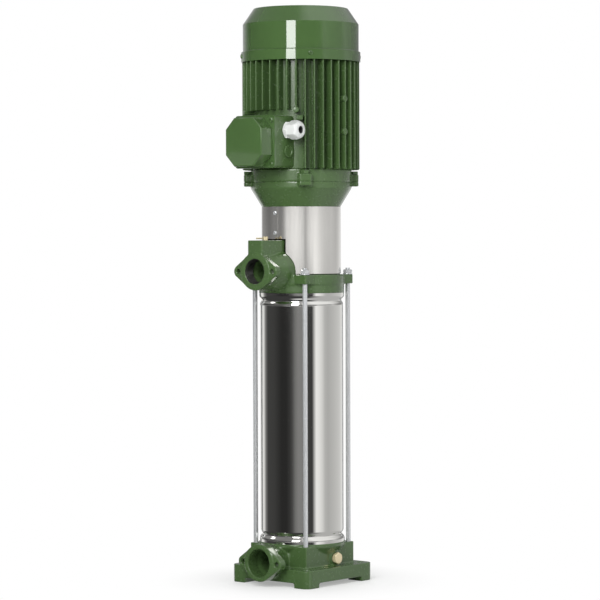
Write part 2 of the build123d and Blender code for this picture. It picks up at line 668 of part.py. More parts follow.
def discharge_head():
    """Skirt, flange, seal dome, discharge port and vent tower."""
    shape = rod_z(SKIRT_RADIUS, CASING_TOP, HEAD_FLANGE_BOTTOM + 1)
    shape += rod_z(SPIGOT_RADIUS, CASING_TOP - SPIGOT_HEIGHT, CASING_TOP + 1)
    shape += rod_z(HEAD_FLANGE_ROUND, HEAD_FLANGE_BOTTOM, HEAD_FLANGE_TOP)
    half = HEAD_FLANGE_SIDE / 2
    square = block(-half, half, half, -half, HEAD_FLANGE_BOTTOM, HEAD_FLANGE_TOP)
    shape += fillet(square.edges().filter_by(Axis.Z), HEAD_FLANGE_CORNER_RADIUS)
    shape += turned_profile(
        (0, HEAD_FLANGE_TOP - 1), (HEAD_DOME_RADIUS, HEAD_FLANGE_TOP - 1),
        (HEAD_DOME_RADIUS, HEAD_DOME_TOP - HEAD_DOME_CHAMFER),
        (HEAD_DOME_RADIUS - HEAD_DOME_CHAMFER, HEAD_DOME_TOP),
        (0, HEAD_DOME_TOP))
    flange_back = DISCHARGE_FACE - DISCHARGE_FLANGE_THICKNESS
    neck = DISCHARGE_NECK_RADIUS
    port = cone_y(DISCHARGE_WAIST_RADIUS, flange_back + 1, neck, GUARD_RADIUS + 6, DISCHARGE_HEIGHT)
    port += rod_y(neck, GUARD_RADIUS + 7, HEAD_CHAMBER_RADIUS - 5, DISCHARGE_HEIGHT)
    floor = CASING_TOP + PORT_FLOOR_ABOVE_CASING
    port -= block(-neck, neck, DISCHARGE_FACE, 0, DISCHARGE_HEIGHT - 2 * neck, floor)
    shape += port
    shape += oval_flange(DISCHARGE_FACE, DISCHARGE_FLANGE_THICKNESS, DISCHARGE_HEIGHT)
    tower = block(-TOWER_HALF_WIDTH, TOWER_HALF_WIDTH, TOWER_FRONT, TOWER_BACK,
                  DISCHARGE_HEIGHT, TOWER_TOP)
    shape += fillet(tower.edges().filter_by(Axis.Z), TOWER_CORNER_RADIUS)
    shape -= rod_z(HEAD_CHAMBER_RADIUS, CASING_TOP, ROOF_BOTTOM)
    shape -= rod_z(SPIGOT_INNER, CASING_TOP - SPIGOT_HEIGHT - 1, CASING_TOP)
    shape -= o_ring_groove(CASING_TOP - SPIGOT_HEIGHT)
    shape -= rod_z(SEAT_RADIUS + SEAT_FIT, ROOF_BOTTOM - 1, SEAT_LEDGE)
    shape -= rod_z(SEAT_BORE_RADIUS + 3, ROOF_BOTTOM, HEAD_DOME_TOP + 1)
    shape -= rod_y(DISCHARGE_THREAD_RADIUS, DISCHARGE_FACE + 1,
                   DISCHARGE_FACE - DISCHARGE_THREAD_LENGTH, DISCHARGE_HEIGHT)
    shape -= rod_y(DISCHARGE_THREAD_RADIUS - PORT_BORE_STEP, DISCHARGE_FACE, 0, DISCHARGE_HEIGHT)
    vent = Pos(0, -VENT_PLACE, 0)
    shape -= vent * rod_z(VENT_STEM_RADIUS + RUNNING_FIT, TOWER_TOP - VENT_STEM_LENGTH - 1,
                          TOWER_TOP + 1)
    shape -= vent * rod_z(VENT_PASSAGE_RADIUS, DISCHARGE_HEIGHT, TOWER_TOP)
    for angle in CORNER_ANGLES:
        hole = rod_z(ROD_RADIUS + BOLT_GAP, HEAD_FLANGE_BOTTOM - 1, HEAD_FLANGE_TOP + 1)
        shape -= at_angle(ROD_CIRCLE_RADIUS, angle) * hole
    for angle in BRACKET_BOLT_ANGLES:
        hole = rod_z(BRACKET_BOLT_RADIUS + THREAD_FIT, HEAD_FLANGE_TOP - BRACKET_BOLT_LENGTH,
                     HEAD_FLANGE_TOP + 1)
        shape -= at_angle(BRACKET_BOLT_CIRCLE, angle) * hole
    return shape


def vent_screw():
    """Brass bleed screw with a short cross bar to one side."""
    head_low = TOWER_TOP + BOLT_GAP
    shape = rod_z(VENT_STEM_RADIUS, TOWER_TOP - VENT_STEM_LENGTH, head_low + 1)
    shape += rod_z(VENT_HEAD_RADIUS, head_low, head_low + VENT_HEAD_HEIGHT)
    shape += rod_x(VENT_BAR_RADIUS, -VENT_BAR_REACH, 0, 0, head_low + VENT_HEAD_HEIGHT / 2)
    return Pos(0, -VENT_PLACE, 0) * shape


def seal_bellows():
    """Rubber bellows with its drive collar, gripping the shaft below the rotating face."""
    bore = PUMP_SHAFT_RADIUS + SEAT_FIT
    low = SEAL_FACE_BOTTOM - BELLOWS_LENGTH
    points = [(bore, SEAL_FACE_BOTTOM), (bore, low), (BELLOWS_RADIUS, low)]
    wave = (BELLOWS_LENGTH - 2 * BELLOWS_COLLAR) / BELLOWS_WAVES
    start = low + BELLOWS_COLLAR
    for turn in range(BELLOWS_WAVES):
        points.append((BELLOWS_RADIUS, start + turn * wave))
        points.append((BELLOWS_RADIUS - BELLOWS_WAVE_DEPTH, start + (turn + 0.5) * wave))
    points.append((BELLOWS_RADIUS, start + BELLOWS_WAVES * wave))
    points.append((BELLOWS_RADIUS, SEAL_FACE_BOTTOM))
    return turned_profile(*points)


def coupling_guard():
    """Rolled sheet with a seam groove over a backing strip, cut out round port and tower."""
    inner = GUARD_RADIUS - GUARD_SHEET
    low = HEAD_FLANGE_TOP + GUARD_BOTTOM_GAP
    shape = tube_z(GUARD_RADIUS, inner, low, GUARD_TOP)
    strip_top = BRACKET_CONE_BOTTOM - BRACKET_SOCKET_DEPTH - SHEET_GAP
    strip = tube_z(inner + GUARD_SHEET / 2, inner - GUARD_SHEET, TOWER_TOP + 4, strip_top)
    reach = 2 * GUARD_RADIUS * math.tan(math.radians(GUARD_STRIP_ANGLE))
    wedge = extrude(make_face(Polyline((0, 0), (reach, -2 * GUARD_RADIUS),
                                       (-reach, -2 * GUARD_RADIUS), close=True)), GUARD_TOP)
    shape += strip & wedge
    seam = block(-GUARD_SEAM_WIDTH / 2, GUARD_SEAM_WIDTH / 2, GUARD_RADIUS + 1,
                 inner + GUARD_SHEET / 2, HEAD_FLANGE_TOP, GUARD_TOP + 1)
    shape -= turned(seam, GUARD_SEAM_ANGLE)
    shape -= rod_y(DISCHARGE_NECK_RADIUS + SHEET_GAP * 2, GUARD_RADIUS + 10, 0, DISCHARGE_HEIGHT)
    half = TOWER_HALF_WIDTH + GUARD_TOWER_GAP
    shape -= block(-half, half, GUARD_RADIUS + 10, 0, HEAD_FLANGE_TOP - 1,
                   TOWER_TOP + GUARD_TOWER_TOP_GAP)
    for height in GUARD_SCREW_HEIGHTS:
        shape -= rod_y(GUARD_SCREW_RADIUS + THREAD_FIT, GUARD_RADIUS + 5, inner - 5, height)
    return shape


def guard_screw(height):
    seat = GUARD_RADIUS
    shape = rod_y(GUARD_SCREW_HEAD_RADIUS, seat + GUARD_SCREW_HEAD_HEIGHT, seat + 0.02, height)
    return shape + rod_y(GUARD_SCREW_RADIUS, seat + 1, seat - GUARD_SCREW_LENGTH, height)


def motor_bracket():
    """Lantern: a foot ring, four legs, the cone that carries the motor, and four lugs."""
    low = HEAD_FLANGE_TOP
    shape = tube_z(BRACKET_LEG_RADIUS, BRACKET_RING_INNER, low, low + BRACKET_RING_HEIGHT)
    legs = tube_z(BRACKET_LEG_RADIUS, BRACKET_LEG_INNER, low, BRACKET_CONE_BOTTOM - 4)
    half = BRACKET_LEG_WIDTH / 2
    for angle in CORNER_ANGLES:
        bar = block(-half, half, BRACKET_TOP_RADIUS, BRACKET_LEG_INNER / 2, low, BRACKET_CONE_BOTTOM)
        shape += legs & turned(bar, angle)
    shape -= rod_y(DISCHARGE_NECK_RADIUS + PORT_CLEARANCE, BRACKET_TOP_RADIUS, 0, DISCHARGE_HEIGHT)
    throat = BRACKET_BORE_RADIUS + BRACKET_THROAT_STEP
    shape += turned_profile(
        (BRACKET_LEG_INNER, BRACKET_CONE_BOTTOM - BRACKET_SOCKET_DEPTH),
        (BRACKET_LEG_RADIUS, BRACKET_CONE_BOTTOM - BRACKET_SOCKET_DEPTH),
        (BRACKET_LEG_RADIUS, BRACKET_CONE_BOTTOM), (BRACKET_CONE_BOTTOM_RADIUS, BRACKET_CONE_BOTTOM),
        (BRACKET_TOP_RADIUS, BRACKET_CONE_TOP), (BRACKET_TOP_RADIUS, BRACKET_TOP),
        (BRACKET_BORE_RADIUS + THREAD_FIT, BRACKET_TOP),
        (BRACKET_BORE_RADIUS + THREAD_FIT, BRACKET_CONE_TOP),
        (throat, BRACKET_CONE_TOP - BRACKET_THROAT_DROP))
    for angle in CORNER_ANGLES:
        shape += turned(lug(BRACKET_TOP - BRACKET_LUG_HEIGHT, BRACKET_TOP), angle)
        hole = rod_z(FLANGE_SCREW_RADIUS + THREAD_FIT, BRACKET_TOP - BRACKET_LUG_HEIGHT - 1,
                     BRACKET_TOP + 1)
        shape -= at_angle(FLANGE_SCREW_CIRCLE, angle) * hole
    for angle in BRACKET_BOLT_ANGLES:
        hole = rod_z(BRACKET_BOLT_RADIUS + BOLT_GAP, low - 1, low + BRACKET_RING_HEIGHT + 1)
        shape -= at_angle(BRACKET_BOLT_CIRCLE, angle) * hole
    return shape


def lug(low, high):
    """A fixing lug that stands out of a round flange towards -Y."""
    half = LUG_WIDTH / 2
    shape = block(-half, half, LUG_REACH, BRACKET_TOP_RADIUS - LUG_EDGE, low, high)
    corners = shape.edges().filter_by(Axis.Z).group_by(Axis.Y)[0]
    return fillet(corners, LUG_CORNER_RADIUS)


def bracket_bolt():
    seat = HEAD_FLANGE_TOP + BRACKET_RING_HEIGHT
    shape = Pos(0, 0, seat) * hexagon(BRACKET_BOLT_HEAD_ACROSS_FLATS, BRACKET_BOLT_HEAD_HEIGHT)
    return shape + rod_z(BRACKET_BOLT_RADIUS, HEAD_FLANGE_TOP - BRACKET_BOLT_LENGTH + 1, seat + 1)


def coupling_halves():
    """Two half shells that clamp both shaft ends, with recessed seats for their bolts."""
    shape = rod_z(COUPLING_RADIUS, COUPLING_BOTTOM, COUPLING_TOP)
    middle = (PUMP_SHAFT_TOP + MOTOR_SHAFT_BOTTOM) / 2
    shape -= rod_z(PUMP_SHAFT_RADIUS + SEAT_FIT, COUPLING_BOTTOM - 1, middle + 1)
    shape -= rod_z(MOTOR_SHAFT_RADIUS + SEAT_FIT, middle, COUPLING_TOP + 1)
    shape -= Box(COUPLING_SPLIT, 3 * COUPLING_RADIUS, 3 * COUPLING_TOP)
    reach = COUPLING_RADIUS + 1
    for height in COUPLING_BOLT_HEIGHTS:
        for front in (-COUPLING_BOLT_PLACE, COUPLING_BOLT_PLACE):
            shape -= rod_x(COUPLING_BOLT_RADIUS + BOLT_GAP, -reach, reach, front, height)
            for end in (-1, 1):
                low, high = sorted((end * COUPLING_HEAD_SEAT, end * reach))
                shape -= rod_x(COUPLING_BOLT_HEAD_RADIUS + 1, low, high, front, height)
    return shape


def coupling_bolt(front, height):
    seat = COUPLING_HEAD_SEAT
    shape = rod_x(COUPLING_BOLT_HEAD_RADIUS, seat, seat + COUPLING_BOLT_HEAD_HEIGHT, front, height)
    shape += rod_x(COUPLING_BOLT_RADIUS, -seat - COUPLING_NUT_HEIGHT, seat + 1, front, height)
    nut = Pos(-seat - COUPLING_NUT_HEIGHT, -front, height) * Rot(0, 90, 0) * hexagon(
        COUPLING_NUT_ACROSS_FLATS, COUPLING_NUT_HEIGHT)
    return shape + nut


def motor_shaft():
    lower_seat = LOWER_BEARING_BOTTOM - 1
    lower_shoulder = LOWER_BEARING_BOTTOM + BEARING_WIDTH
    upper_seat = UPPER_BEARING_BOTTOM - 1
    upper_shoulder = UPPER_BEARING_BOTTOM + BEARING_WIDTH
    fan_top = FAN_BOTTOM + FAN_HUB_HEIGHT + 3
    return turned_profile(
        (0, MOTOR_SHAFT_BOTTOM), (MOTOR_SHAFT_RADIUS, MOTOR_SHAFT_BOTTOM),
        (MOTOR_SHAFT_RADIUS, lower_seat), (BEARING_INNER_RADIUS, lower_seat),
        (BEARING_INNER_RADIUS, lower_shoulder), (ROTOR_SHAFT_RADIUS, lower_shoulder),
        (ROTOR_SHAFT_RADIUS, upper_seat), (BEARING_INNER_RADIUS, upper_seat),
        (BEARING_INNER_RADIUS, upper_shoulder), (FAN_SHAFT_RADIUS, upper_shoulder),
        (FAN_SHAFT_RADIUS, fan_top), (0, fan_top))


def bearing_inner(low):
    bore = BEARING_INNER_RADIUS + SEAT_FIT
    return tube_z(BEARING_INNER_RADIUS + BEARING_RING_WALL, bore, low, low + BEARING_WIDTH)


def bearing_outer(low):
    outer = BEARING_OUTER_RADIUS - SEAT_FIT
    return tube_z(outer, BEARING_OUTER_RADIUS - BEARING_RING_WALL, low, low + BEARING_WIDTH)


def bearing_seals(low):
    """The two pressed shields that close one bearing; they sit in the outer ring."""
    outer = BEARING_OUTER_RADIUS - BEARING_RING_WALL - SEAT_FIT
    inner = BEARING_INNER_RADIUS + BEARING_RING_WALL + BOLT_GAP
    bottom = low + BEARING_SEAL_INSET
    top = low + BEARING_WIDTH - BEARING_SEAL_INSET - BEARING_SEAL_THICKNESS
    return [tube_z(outer, inner, level, level + BEARING_SEAL_THICKNESS) for level in (bottom, top)]


def lower_end_shield():
    """Flange with spigots, bearing housing and four lugs."""
    housing = BEARING_OUTER_RADIUS + BEARING_HOUSING_WALL
    shape = turned_profile(
        (0, BRACKET_TOP - SHIELD_SPIGOT), (BRACKET_BORE_RADIUS, BRACKET_TOP - SHIELD_SPIGOT),
        (BRACKET_BORE_RADIUS, BRACKET_TOP), (SHIELD_RADIUS, BRACKET_TOP),
        (SHIELD_RADIUS, FRAME_BOTTOM), (FRAME_BORE_RADIUS - THREAD_FIT, FRAME_BOTTOM),
        (FRAME_BORE_RADIUS - THREAD_FIT, FRAME_BOTTOM + SHIELD_SPIGOT),
        (FRAME_BORE_RADIUS - BEARING_HOUSING_WALL, FRAME_BOTTOM + SHIELD_SPIGOT),
        (FRAME_BORE_RADIUS - BEARING_HOUSING_WALL, BRACKET_TOP + BEARING_HOUSING_WALL),
        (housing, BRACKET_TOP + BEARING_HOUSING_WALL), (housing, LOWER_BEARING_BOTTOM + BEARING_WIDTH),
        (0, LOWER_BEARING_BOTTOM + BEARING_WIDTH))
    for angle in CORNER_ANGLES:
        shape += turned(lug(BRACKET_TOP, BRACKET_TOP + SHIELD_LUG_HEIGHT), angle)
        hole = rod_z(FLANGE_SCREW_RADIUS + BOLT_GAP, BRACKET_TOP - 1, FRAME_BOTTOM)
        hole += rod_z(FLANGE_SCREW_SPOT_RADIUS, BRACKET_TOP + SHIELD_LUG_HEIGHT, FRAME_BOTTOM)
        shape -= at_angle(FLANGE_SCREW_CIRCLE, angle) * hole
    shape -= rod_z(BEARING_OUTER_RADIUS, LOWER_BEARING_BOTTOM, FRAME_BOTTOM)
    return shape - rod_z(MOTOR_SHAFT_RADIUS + 2 * ROTATING_GAP, BRACKET_TOP - 10, FRAME_BOTTOM)


def flange_screw():
    seat = BRACKET_TOP + SHIELD_LUG_HEIGHT
    shape = Pos(0, 0, seat) * hexagon(NUT_ACROSS_FLATS, FLANGE_SCREW_HEAD_HEIGHT)
    return shape + rod_z(FLANGE_SCREW_RADIUS, BRACKET_TOP - BRACKET_LUG_HEIGHT, seat + 1)


def motor_frame():
    """Finned frame; the fins in front of the terminal box end above it."""
    root = FRAME_BORE_RADIUS + FRAME_WALL
    shape = tube_z(root, FRAME_BORE_RADIUS, FRAME_BOTTOM, FRAME_TOP)
    foot, tip = FIN_ROOT_THICKNESS / 2, FIN_TIP_THICKNESS / 2
    start = root - 1.5
    outline = Polyline((-foot, -start), (foot, -start), (tip, -FIN_TIP_RADIUS),
                       (-tip, -FIN_TIP_RADIUS), close=True)
    fin = make_face(outline)
    fins = []
    for number in range(FIN_COUNT):
        angle = 360 / FIN_COUNT * number
        near_box = min(angle, 360 - angle) < SHORT_FIN_HALF_ANGLE
        low = SHORT_FIN_BOTTOM if near_box else FRAME_BOTTOM
        fins.append(turned(Pos(0, 0, low) * extrude(fin, FRAME_TOP - low), angle))
    step = 360 / FIN_COUNT
    edge_fin = step * math.floor(SHORT_FIN_HALF_ANGLE / step)
    for angle in (-edge_fin, edge_fin):
        fins.append(turned(rod_y(FIN_BOSS_RADIUS, FIN_TIP_RADIUS, start, SHORT_FIN_BOTTOM), angle))
    for angle in (-90, 90):
        for height in PAD_HEIGHTS:
            half = PAD_WIDTH / 2
            fins.append(turned(block(-half, half, FIN_TIP_RADIUS, start, height - PAD_HEIGHT / 2,
                                     height + PAD_HEIGHT / 2), angle))
    half = EARTH_LUG_WIDTH / 2
    fins.append(turned(block(-half, half, EARTH_LUG_REACH, start, EARTH_LUG_TOP - EARTH_LUG_HEIGHT,
                             EARTH_LUG_TOP), EARTH_LUG_ANGLE))
    return shape + fins


def stator_core():
    shape = tube_z(FRAME_BORE_RADIUS - SEAT_FIT, STATOR_INNER_RADIUS, CORE_BOTTOM, CORE_TOP)
    half = STATOR_SLOT_WIDTH / 2
    slots = [turned(block(-half, half, STATOR_INNER_RADIUS + STATOR_SLOT_DEPTH,
                          STATOR_INNER_RADIUS - STATOR_SLOT_OPENING, CORE_BOTTOM - 1, CORE_TOP + 1),
                    360 / STATOR_SLOT_COUNT * number) for number in range(STATOR_SLOT_COUNT)]
    return shape - slots


def winding_head(face, away):
    """The rounded bundle of end turns that stands on one face of the stator."""
    inner, outer, nip = WINDING_INNER_RADIUS, WINDING_OUTER_RADIUS, WINDING_CHAMFER
    end = face + away * WINDING_HEIGHT
    return turned_profile(
        (inner, face), (outer, face), (outer, end - away * nip), (outer - nip, end),
        (inner + nip, end), (inner, end - away * nip))


def rotor_core():
    """Laminated rotor with its cast end rings."""
    radius = STATOR_INNER_RADIUS - AIR_GAP
    shape = rod_z(radius, CORE_BOTTOM, CORE_TOP)
    for low, high in ((CORE_BOTTOM - END_RING_HEIGHT, CORE_BOTTOM + 1),
                      (CORE_TOP - 1, CORE_TOP + END_RING_HEIGHT)):
        shape += tube_z(radius - END_RING_INSET, END_RING_INNER, low, high)
    beyond = 2 * END_RING_HEIGHT
    return shape - rod_z(ROTOR_SHAFT_RADIUS + SEAT_FIT, CORE_BOTTOM - beyond, CORE_TOP + beyond)


def upper_end_shield():
    """Shield with spigot, bearing housing and the lugs that carry the fan cover."""
    housing = BEARING_OUTER_RADIUS + BEARING_HOUSING_WALL
    top = FRAME_TOP + UPPER_SHIELD_THICKNESS
    spigot = FRAME_BORE_RADIUS - THREAD_FIT
    shape = turned_profile(
        (0, UPPER_BEARING_BOTTOM), (housing, UPPER_BEARING_BOTTOM),
        (housing, FRAME_TOP + UPPER_SHIELD_FLOOR),
        (spigot - BEARING_HOUSING_WALL, FRAME_TOP + UPPER_SHIELD_FLOOR),
        (spigot - BEARING_HOUSING_WALL, FRAME_TOP - SHIELD_SPIGOT),
        (spigot, FRAME_TOP - SHIELD_SPIGOT), (spigot, FRAME_TOP), (UPPER_SHIELD_RADIUS, FRAME_TOP),
        (UPPER_SHIELD_RADIUS, FRAME_TOP + UPPER_SHIELD_FLANGE), (housing + BEARING_HOUSING_WALL, top),
        (0, top))
    half = COVER_LUG_WIDTH / 2
    reach = COVER_BAND_RADIUS - COVER_SHEET - SHEET_GAP / 2
    for angle in COVER_ANGLES:
        shape += turned(block(-half, half, reach, UPPER_SHIELD_RADIUS - COVER_LUG_WIDTH,
                              FRAME_TOP + UPPER_SHIELD_FLOOR, COVER_BAND_TOP - COVER_SHEET),
                        angle) & rod_z(reach, FRAME_TOP, COVER_TOP)
        shape -= turned(rod_y(COVER_SCREW_RADIUS + THREAD_FIT, reach + 5, reach - COVER_SCREW_LENGTH,
                              COVER_SCREW_HEIGHT), angle)
    shape -= rod_z(BEARING_OUTER_RADIUS, UPPER_BEARING_BOTTOM - 1,
                   UPPER_BEARING_BOTTOM + BEARING_WIDTH)
    return shape - rod_z(FAN_SHAFT_RADIUS + 2 * ROTATING_GAP, UPPER_BEARING_BOTTOM, top + 1)


def fan():
    """Disc fan with straight radial blades."""
    shape = rod_z(FAN_HUB_RADIUS, FAN_BOTTOM, FAN_BOTTOM + FAN_HUB_HEIGHT)
    shape += rod_z(FAN_DISC_RADIUS, FAN_BOTTOM, FAN_BOTTOM + FAN_DISC_THICKNESS)
    half = FAN_BLADE_THICKNESS / 2
    for number in range(FAN_BLADE_COUNT):
        blade = block(-half, half, FAN_RADIUS, FAN_HUB_RADIUS - 2, FAN_BOTTOM,
                      FAN_BOTTOM + FAN_BLADE_HEIGHT)
        shape += turned(blade, 360 / FAN_BLADE_COUNT * number)
    return shape - rod_z(FAN_SHAFT_RADIUS + SEAT_FIT, FAN_BOTTOM - 1,
                         FAN_BOTTOM + FAN_BLADE_HEIGHT + 1)


def fan_cover():
    """Pressed sheet: band, barrel, bevel and a flat top with rings of air slots."""
    wall = COVER_SHEET
    bevel = math.atan2(COVER_TOP - COVER_BEVEL_BOTTOM, COVER_RADIUS - COVER_TOP_RADIUS)
    drop = wall * math.tan((math.pi / 2 - bevel) / 2)
    inset = wall * math.tan(bevel / 2)
    shape = turned_profile(
        (COVER_BAND_RADIUS, COVER_BAND_BOTTOM), (COVER_BAND_RADIUS, COVER_BAND_TOP),
        (COVER_RADIUS, COVER_BAND_TOP + wall), (COVER_RADIUS, COVER_BEVEL_BOTTOM),
        (COVER_TOP_RADIUS, COVER_TOP), (0, COVER_TOP), (0, COVER_TOP - wall),
        (COVER_TOP_RADIUS - inset, COVER_TOP - wall), (COVER_RADIUS - wall, COVER_BEVEL_BOTTOM - drop),
        (COVER_RADIUS - wall, COVER_BAND_TOP + wall / 2),
        (COVER_BAND_RADIUS - wall, COVER_BAND_TOP - wall / 2), (COVER_BAND_RADIUS - wall, COVER_BAND_BOTTOM))
    rings = Sketch()
    for number in range(GRILLE_RING_COUNT):
        inner = GRILLE_FIRST_RADIUS + number * GRILLE_PITCH
        rings += Circle(inner + GRILLE_SLOT) - Circle(inner)
    spokes = [Rot(0, 0, 360 / GRILLE_SPOKE_COUNT * number) * Pos(COVER_TOP_RADIUS / 2, 0) * Rectangle(
        COVER_TOP_RADIUS, GRILLE_SPOKE_WIDTH) for number in range(GRILLE_SPOKE_COUNT)]
    slots = rings - spokes
    shape -= Pos(0, 0, COVER_TOP - 2 * wall) * extrude(slots, 3 * wall)
    for angle in COVER_ANGLES:
        shape -= turned(rod_y(COVER_SCREW_RADIUS + BOLT_GAP, COVER_BAND_RADIUS + 1,
                              COVER_BAND_RADIUS - 5, COVER_SCREW_HEIGHT), angle)
    return shape


def cover_screw():
    seat = COVER_BAND_RADIUS
    shape = rod_y(COVER_SCREW_HEAD_RADIUS, seat + COVER_SCREW_HEAD_HEIGHT, seat + 0.02,
                  COVER_SCREW_HEIGHT)
    return shape + rod_y(COVER_SCREW_RADIUS, seat + 1, seat - COVER_SCREW_LENGTH, COVER_SCREW_HEIGHT)


def box_screw_places():
    return [(x_sign * BOX_SCREW_X, BOX_MIDDLE + z_sign * BOX_SCREW_Z)
            for x_sign in (-1, 1) for z_sign in (-1, 1)]


def terminal_box():
    """Open box with a saddle back that follows the frame, screw posts and two cable entries."""
    root = FRAME_BORE_RADIUS + FRAME_WALL
    shape = block(-BOX_HALF_WIDTH, BOX_HALF_WIDTH, BOX_FACE, BOX_BACK, BOX_BOTTOM, BOX_TOP)
    shape = fillet(shape.edges().filter_by(Axis.Y), BOX_CORNER_RADIUS)
    inner = BOX_HALF_WIDTH - BOX_WALL
    pocket = block(-inner, inner, BOX_FACE + 1, BOX_BACK, BOX_BOTTOM + BOX_WALL, BOX_TOP - BOX_WALL)
    shape -= pocket - rod_z(root + BOX_FLOOR, BOX_BOTTOM, BOX_TOP)
    shape -= rod_z(root + SEAT_FIT, BOX_BOTTOM - 5, BOX_TOP + 5)
    for x, z in box_screw_places():
        post = Pos(x, 0, 0) * rod_y(BOX_POST_RADIUS, BOX_FACE, BOX_FACE - BOX_SCREW_LENGTH - 3, z)
        shape += post & block(-BOX_HALF_WIDTH, BOX_HALF_WIDTH, BOX_FACE, 0, BOX_BOTTOM, BOX_TOP)
        shape -= Pos(x, 0, 0) * rod_y(BOX_SCREW_RADIUS + THREAD_FIT, BOX_FACE + 1,
                                      BOX_FACE - BOX_SCREW_LENGTH, z)
    shape -= rod_x(GLAND_THREAD_RADIUS + THREAD_FIT, inner - 6, BOX_HALF_WIDTH + 1, GLAND_PLACE,
                   GLAND_HEIGHT)
    shape -= rod_x(BLANK_SHANK_RADIUS + THREAD_FIT, inner - 6, BOX_HALF_WIDTH + 1, BLANK_PLACE,
                   BLANK_HEIGHT)
    return shape


def octagon(width, height, chamfer):
    half_x, half_z, cut = width / 2, height / 2, chamfer
    return make_face(Polyline(
        (half_x - cut, -half_z), (half_x, -half_z + cut), (half_x, half_z - cut),
        (half_x - cut, half_z), (-half_x + cut, half_z), (-half_x, half_z - cut),
        (-half_x, -half_z + cut), (-half_x + cut, -half_z), close=True))


def terminal_cover():
    """Cast cover: a flat flange on the box and an octagonal dome, hollow inside."""
    front = BOX_FACE + COVER_FLANGE_THICKNESS
    flange = block(-BOX_HALF_WIDTH, BOX_HALF_WIDTH, front, BOX_FACE, BOX_BOTTOM, BOX_TOP)
    flange = fillet(flange.edges().filter_by(Axis.Y), BOX_CORNER_RADIUS)
    facing = Plane((0, -DOME_FACE, BOX_MIDDLE), x_dir=(1, 0, 0), z_dir=(0, 1, 0))
    dome = extrude(facing * octagon(DOME_WIDTH, DOME_HEIGHT, DOME_CHAMFER), DOME_FACE - BOX_FACE)
    dome = fillet(dome.faces().sort_by(Axis.Y)[0].edges(), DOME_EDGE_RADIUS)
    hollow = Pos(0, DOME_WALL, 0) * extrude(
        facing * octagon(DOME_WIDTH - 2 * DOME_WALL, DOME_HEIGHT - 2 * DOME_WALL, DOME_CHAMFER - 1),
        DOME_FACE - BOX_FACE)
    shape = flange + dome - hollow
    for x, z in box_screw_places():
        shape -= Pos(x, 0, 0) * rod_y(BOX_SCREW_RADIUS + BOLT_GAP, front + 1, BOX_FACE - 1, z)
        shape -= Pos(x, 0, 0) * rod_y(BOX_SCREW_HEAD_RADIUS + 1, DOME_FACE, front, z)
    return shape


def cover_fixing(x, z):
    seat = BOX_FACE + COVER_FLANGE_THICKNESS
    shape = rod_y(BOX_SCREW_HEAD_RADIUS, seat + BOX_SCREW_HEAD_HEIGHT, seat, z)
    shape += rod_y(BOX_SCREW_RADIUS, seat + 1, BOX_FACE - BOX_SCREW_LENGTH + 1, z)
    return Pos(x, 0, 0) * shape


def terminal_block():
    """Moulded block with six brass studs, on the floor of the terminal box."""
    floor = FRAME_BORE_RADIUS + FRAME_WALL + BOX_FLOOR + SEAT_FIT
    middle = BOX_MIDDLE
    top = floor + BLOCK_DEPTH
    half = BLOCK_WIDTH / 2
    shape = block(-half, half, top, floor, middle - BLOCK_HEIGHT / 2, middle + BLOCK_HEIGHT / 2)
    for x in (-STUD_PITCH, 0, STUD_PITCH):
        for z in (-STUD_PITCH / 2, STUD_PITCH / 2):
            shape += Pos(x, 0, 0) * rod_y(STUD_RADIUS, top + STUD_LENGTH, top - 1, middle + z)
    return shape


def gland_body():
    seat = BOX_HALF_WIDTH
    hex_part = Pos(seat, -GLAND_PLACE, GLAND_HEIGHT) * Rot(0, 90, 0) * Rot(0, 0, 30) * hexagon(
        GLAND_HEX_ACROSS_FLATS, GLAND_HEX_LENGTH)
    end = seat + GLAND_HEX_LENGTH + GLAND_NUT_LENGTH / 2 - 1
    shape = hex_part + rod_x(GLAND_THREAD_RADIUS, seat - BOX_WALL, end, GLAND_PLACE, GLAND_HEIGHT)
    return shape - rod_x(GLAND_BORE_RADIUS + 0.5, 0, end + 1, GLAND_PLACE, GLAND_HEIGHT)


def gland_nut():
    """Domed nut: a hexagon and a rounded nose with the cable hole."""
    low = BOX_HALF_WIDTH + GLAND_HEX_LENGTH
    barrel = low + GLAND_NUT_LENGTH - GLAND_DOME_LENGTH
    end = low + GLAND_NUT_LENGTH
    radius = GLAND_NUT_ACROSS_FLATS / 2
    shape = Pos(low, -GLAND_PLACE, GLAND_HEIGHT) * Rot(0, 90, 0) * hexagon(
        GLAND_NUT_ACROSS_FLATS, barrel - low)
    nose = Pos((barrel + end) / 2, -GLAND_PLACE, GLAND_HEIGHT) * Rot(0, 90, 0) * Cone(
        radius, GLAND_DOME_RADIUS, GLAND_DOME_LENGTH)
    shape += nose
    shape -= rod_x(GLAND_THREAD_RADIUS + THREAD_FIT, low - 1, low + GLAND_NUT_LENGTH / 2,
                   GLAND_PLACE, GLAND_HEIGHT)
    return shape - rod_x(GLAND_BORE_RADIUS, low, end + 1, GLAND_PLACE, GLAND_HEIGHT)


def blanking_plug():
    seat = BOX_HALF_WIDTH
    face = seat + BLANK_THICKNESS
    shape = rod_x(BLANK_RADIUS, seat, face, BLANK_PLACE, BLANK_HEIGHT)
    shape -= rod_x(BLANK_RECESS_RADIUS, face - BLANK_RECESS_DEPTH, face + 1, BLANK_PLACE, BLANK_HEIGHT)
    return shape + rod_x(BLANK_SHANK_RADIUS, seat - BOX_WALL, seat + 1, BLANK_PLACE, BLANK_HEIGHT)


os.makedirs("parts", exist_ok=True)

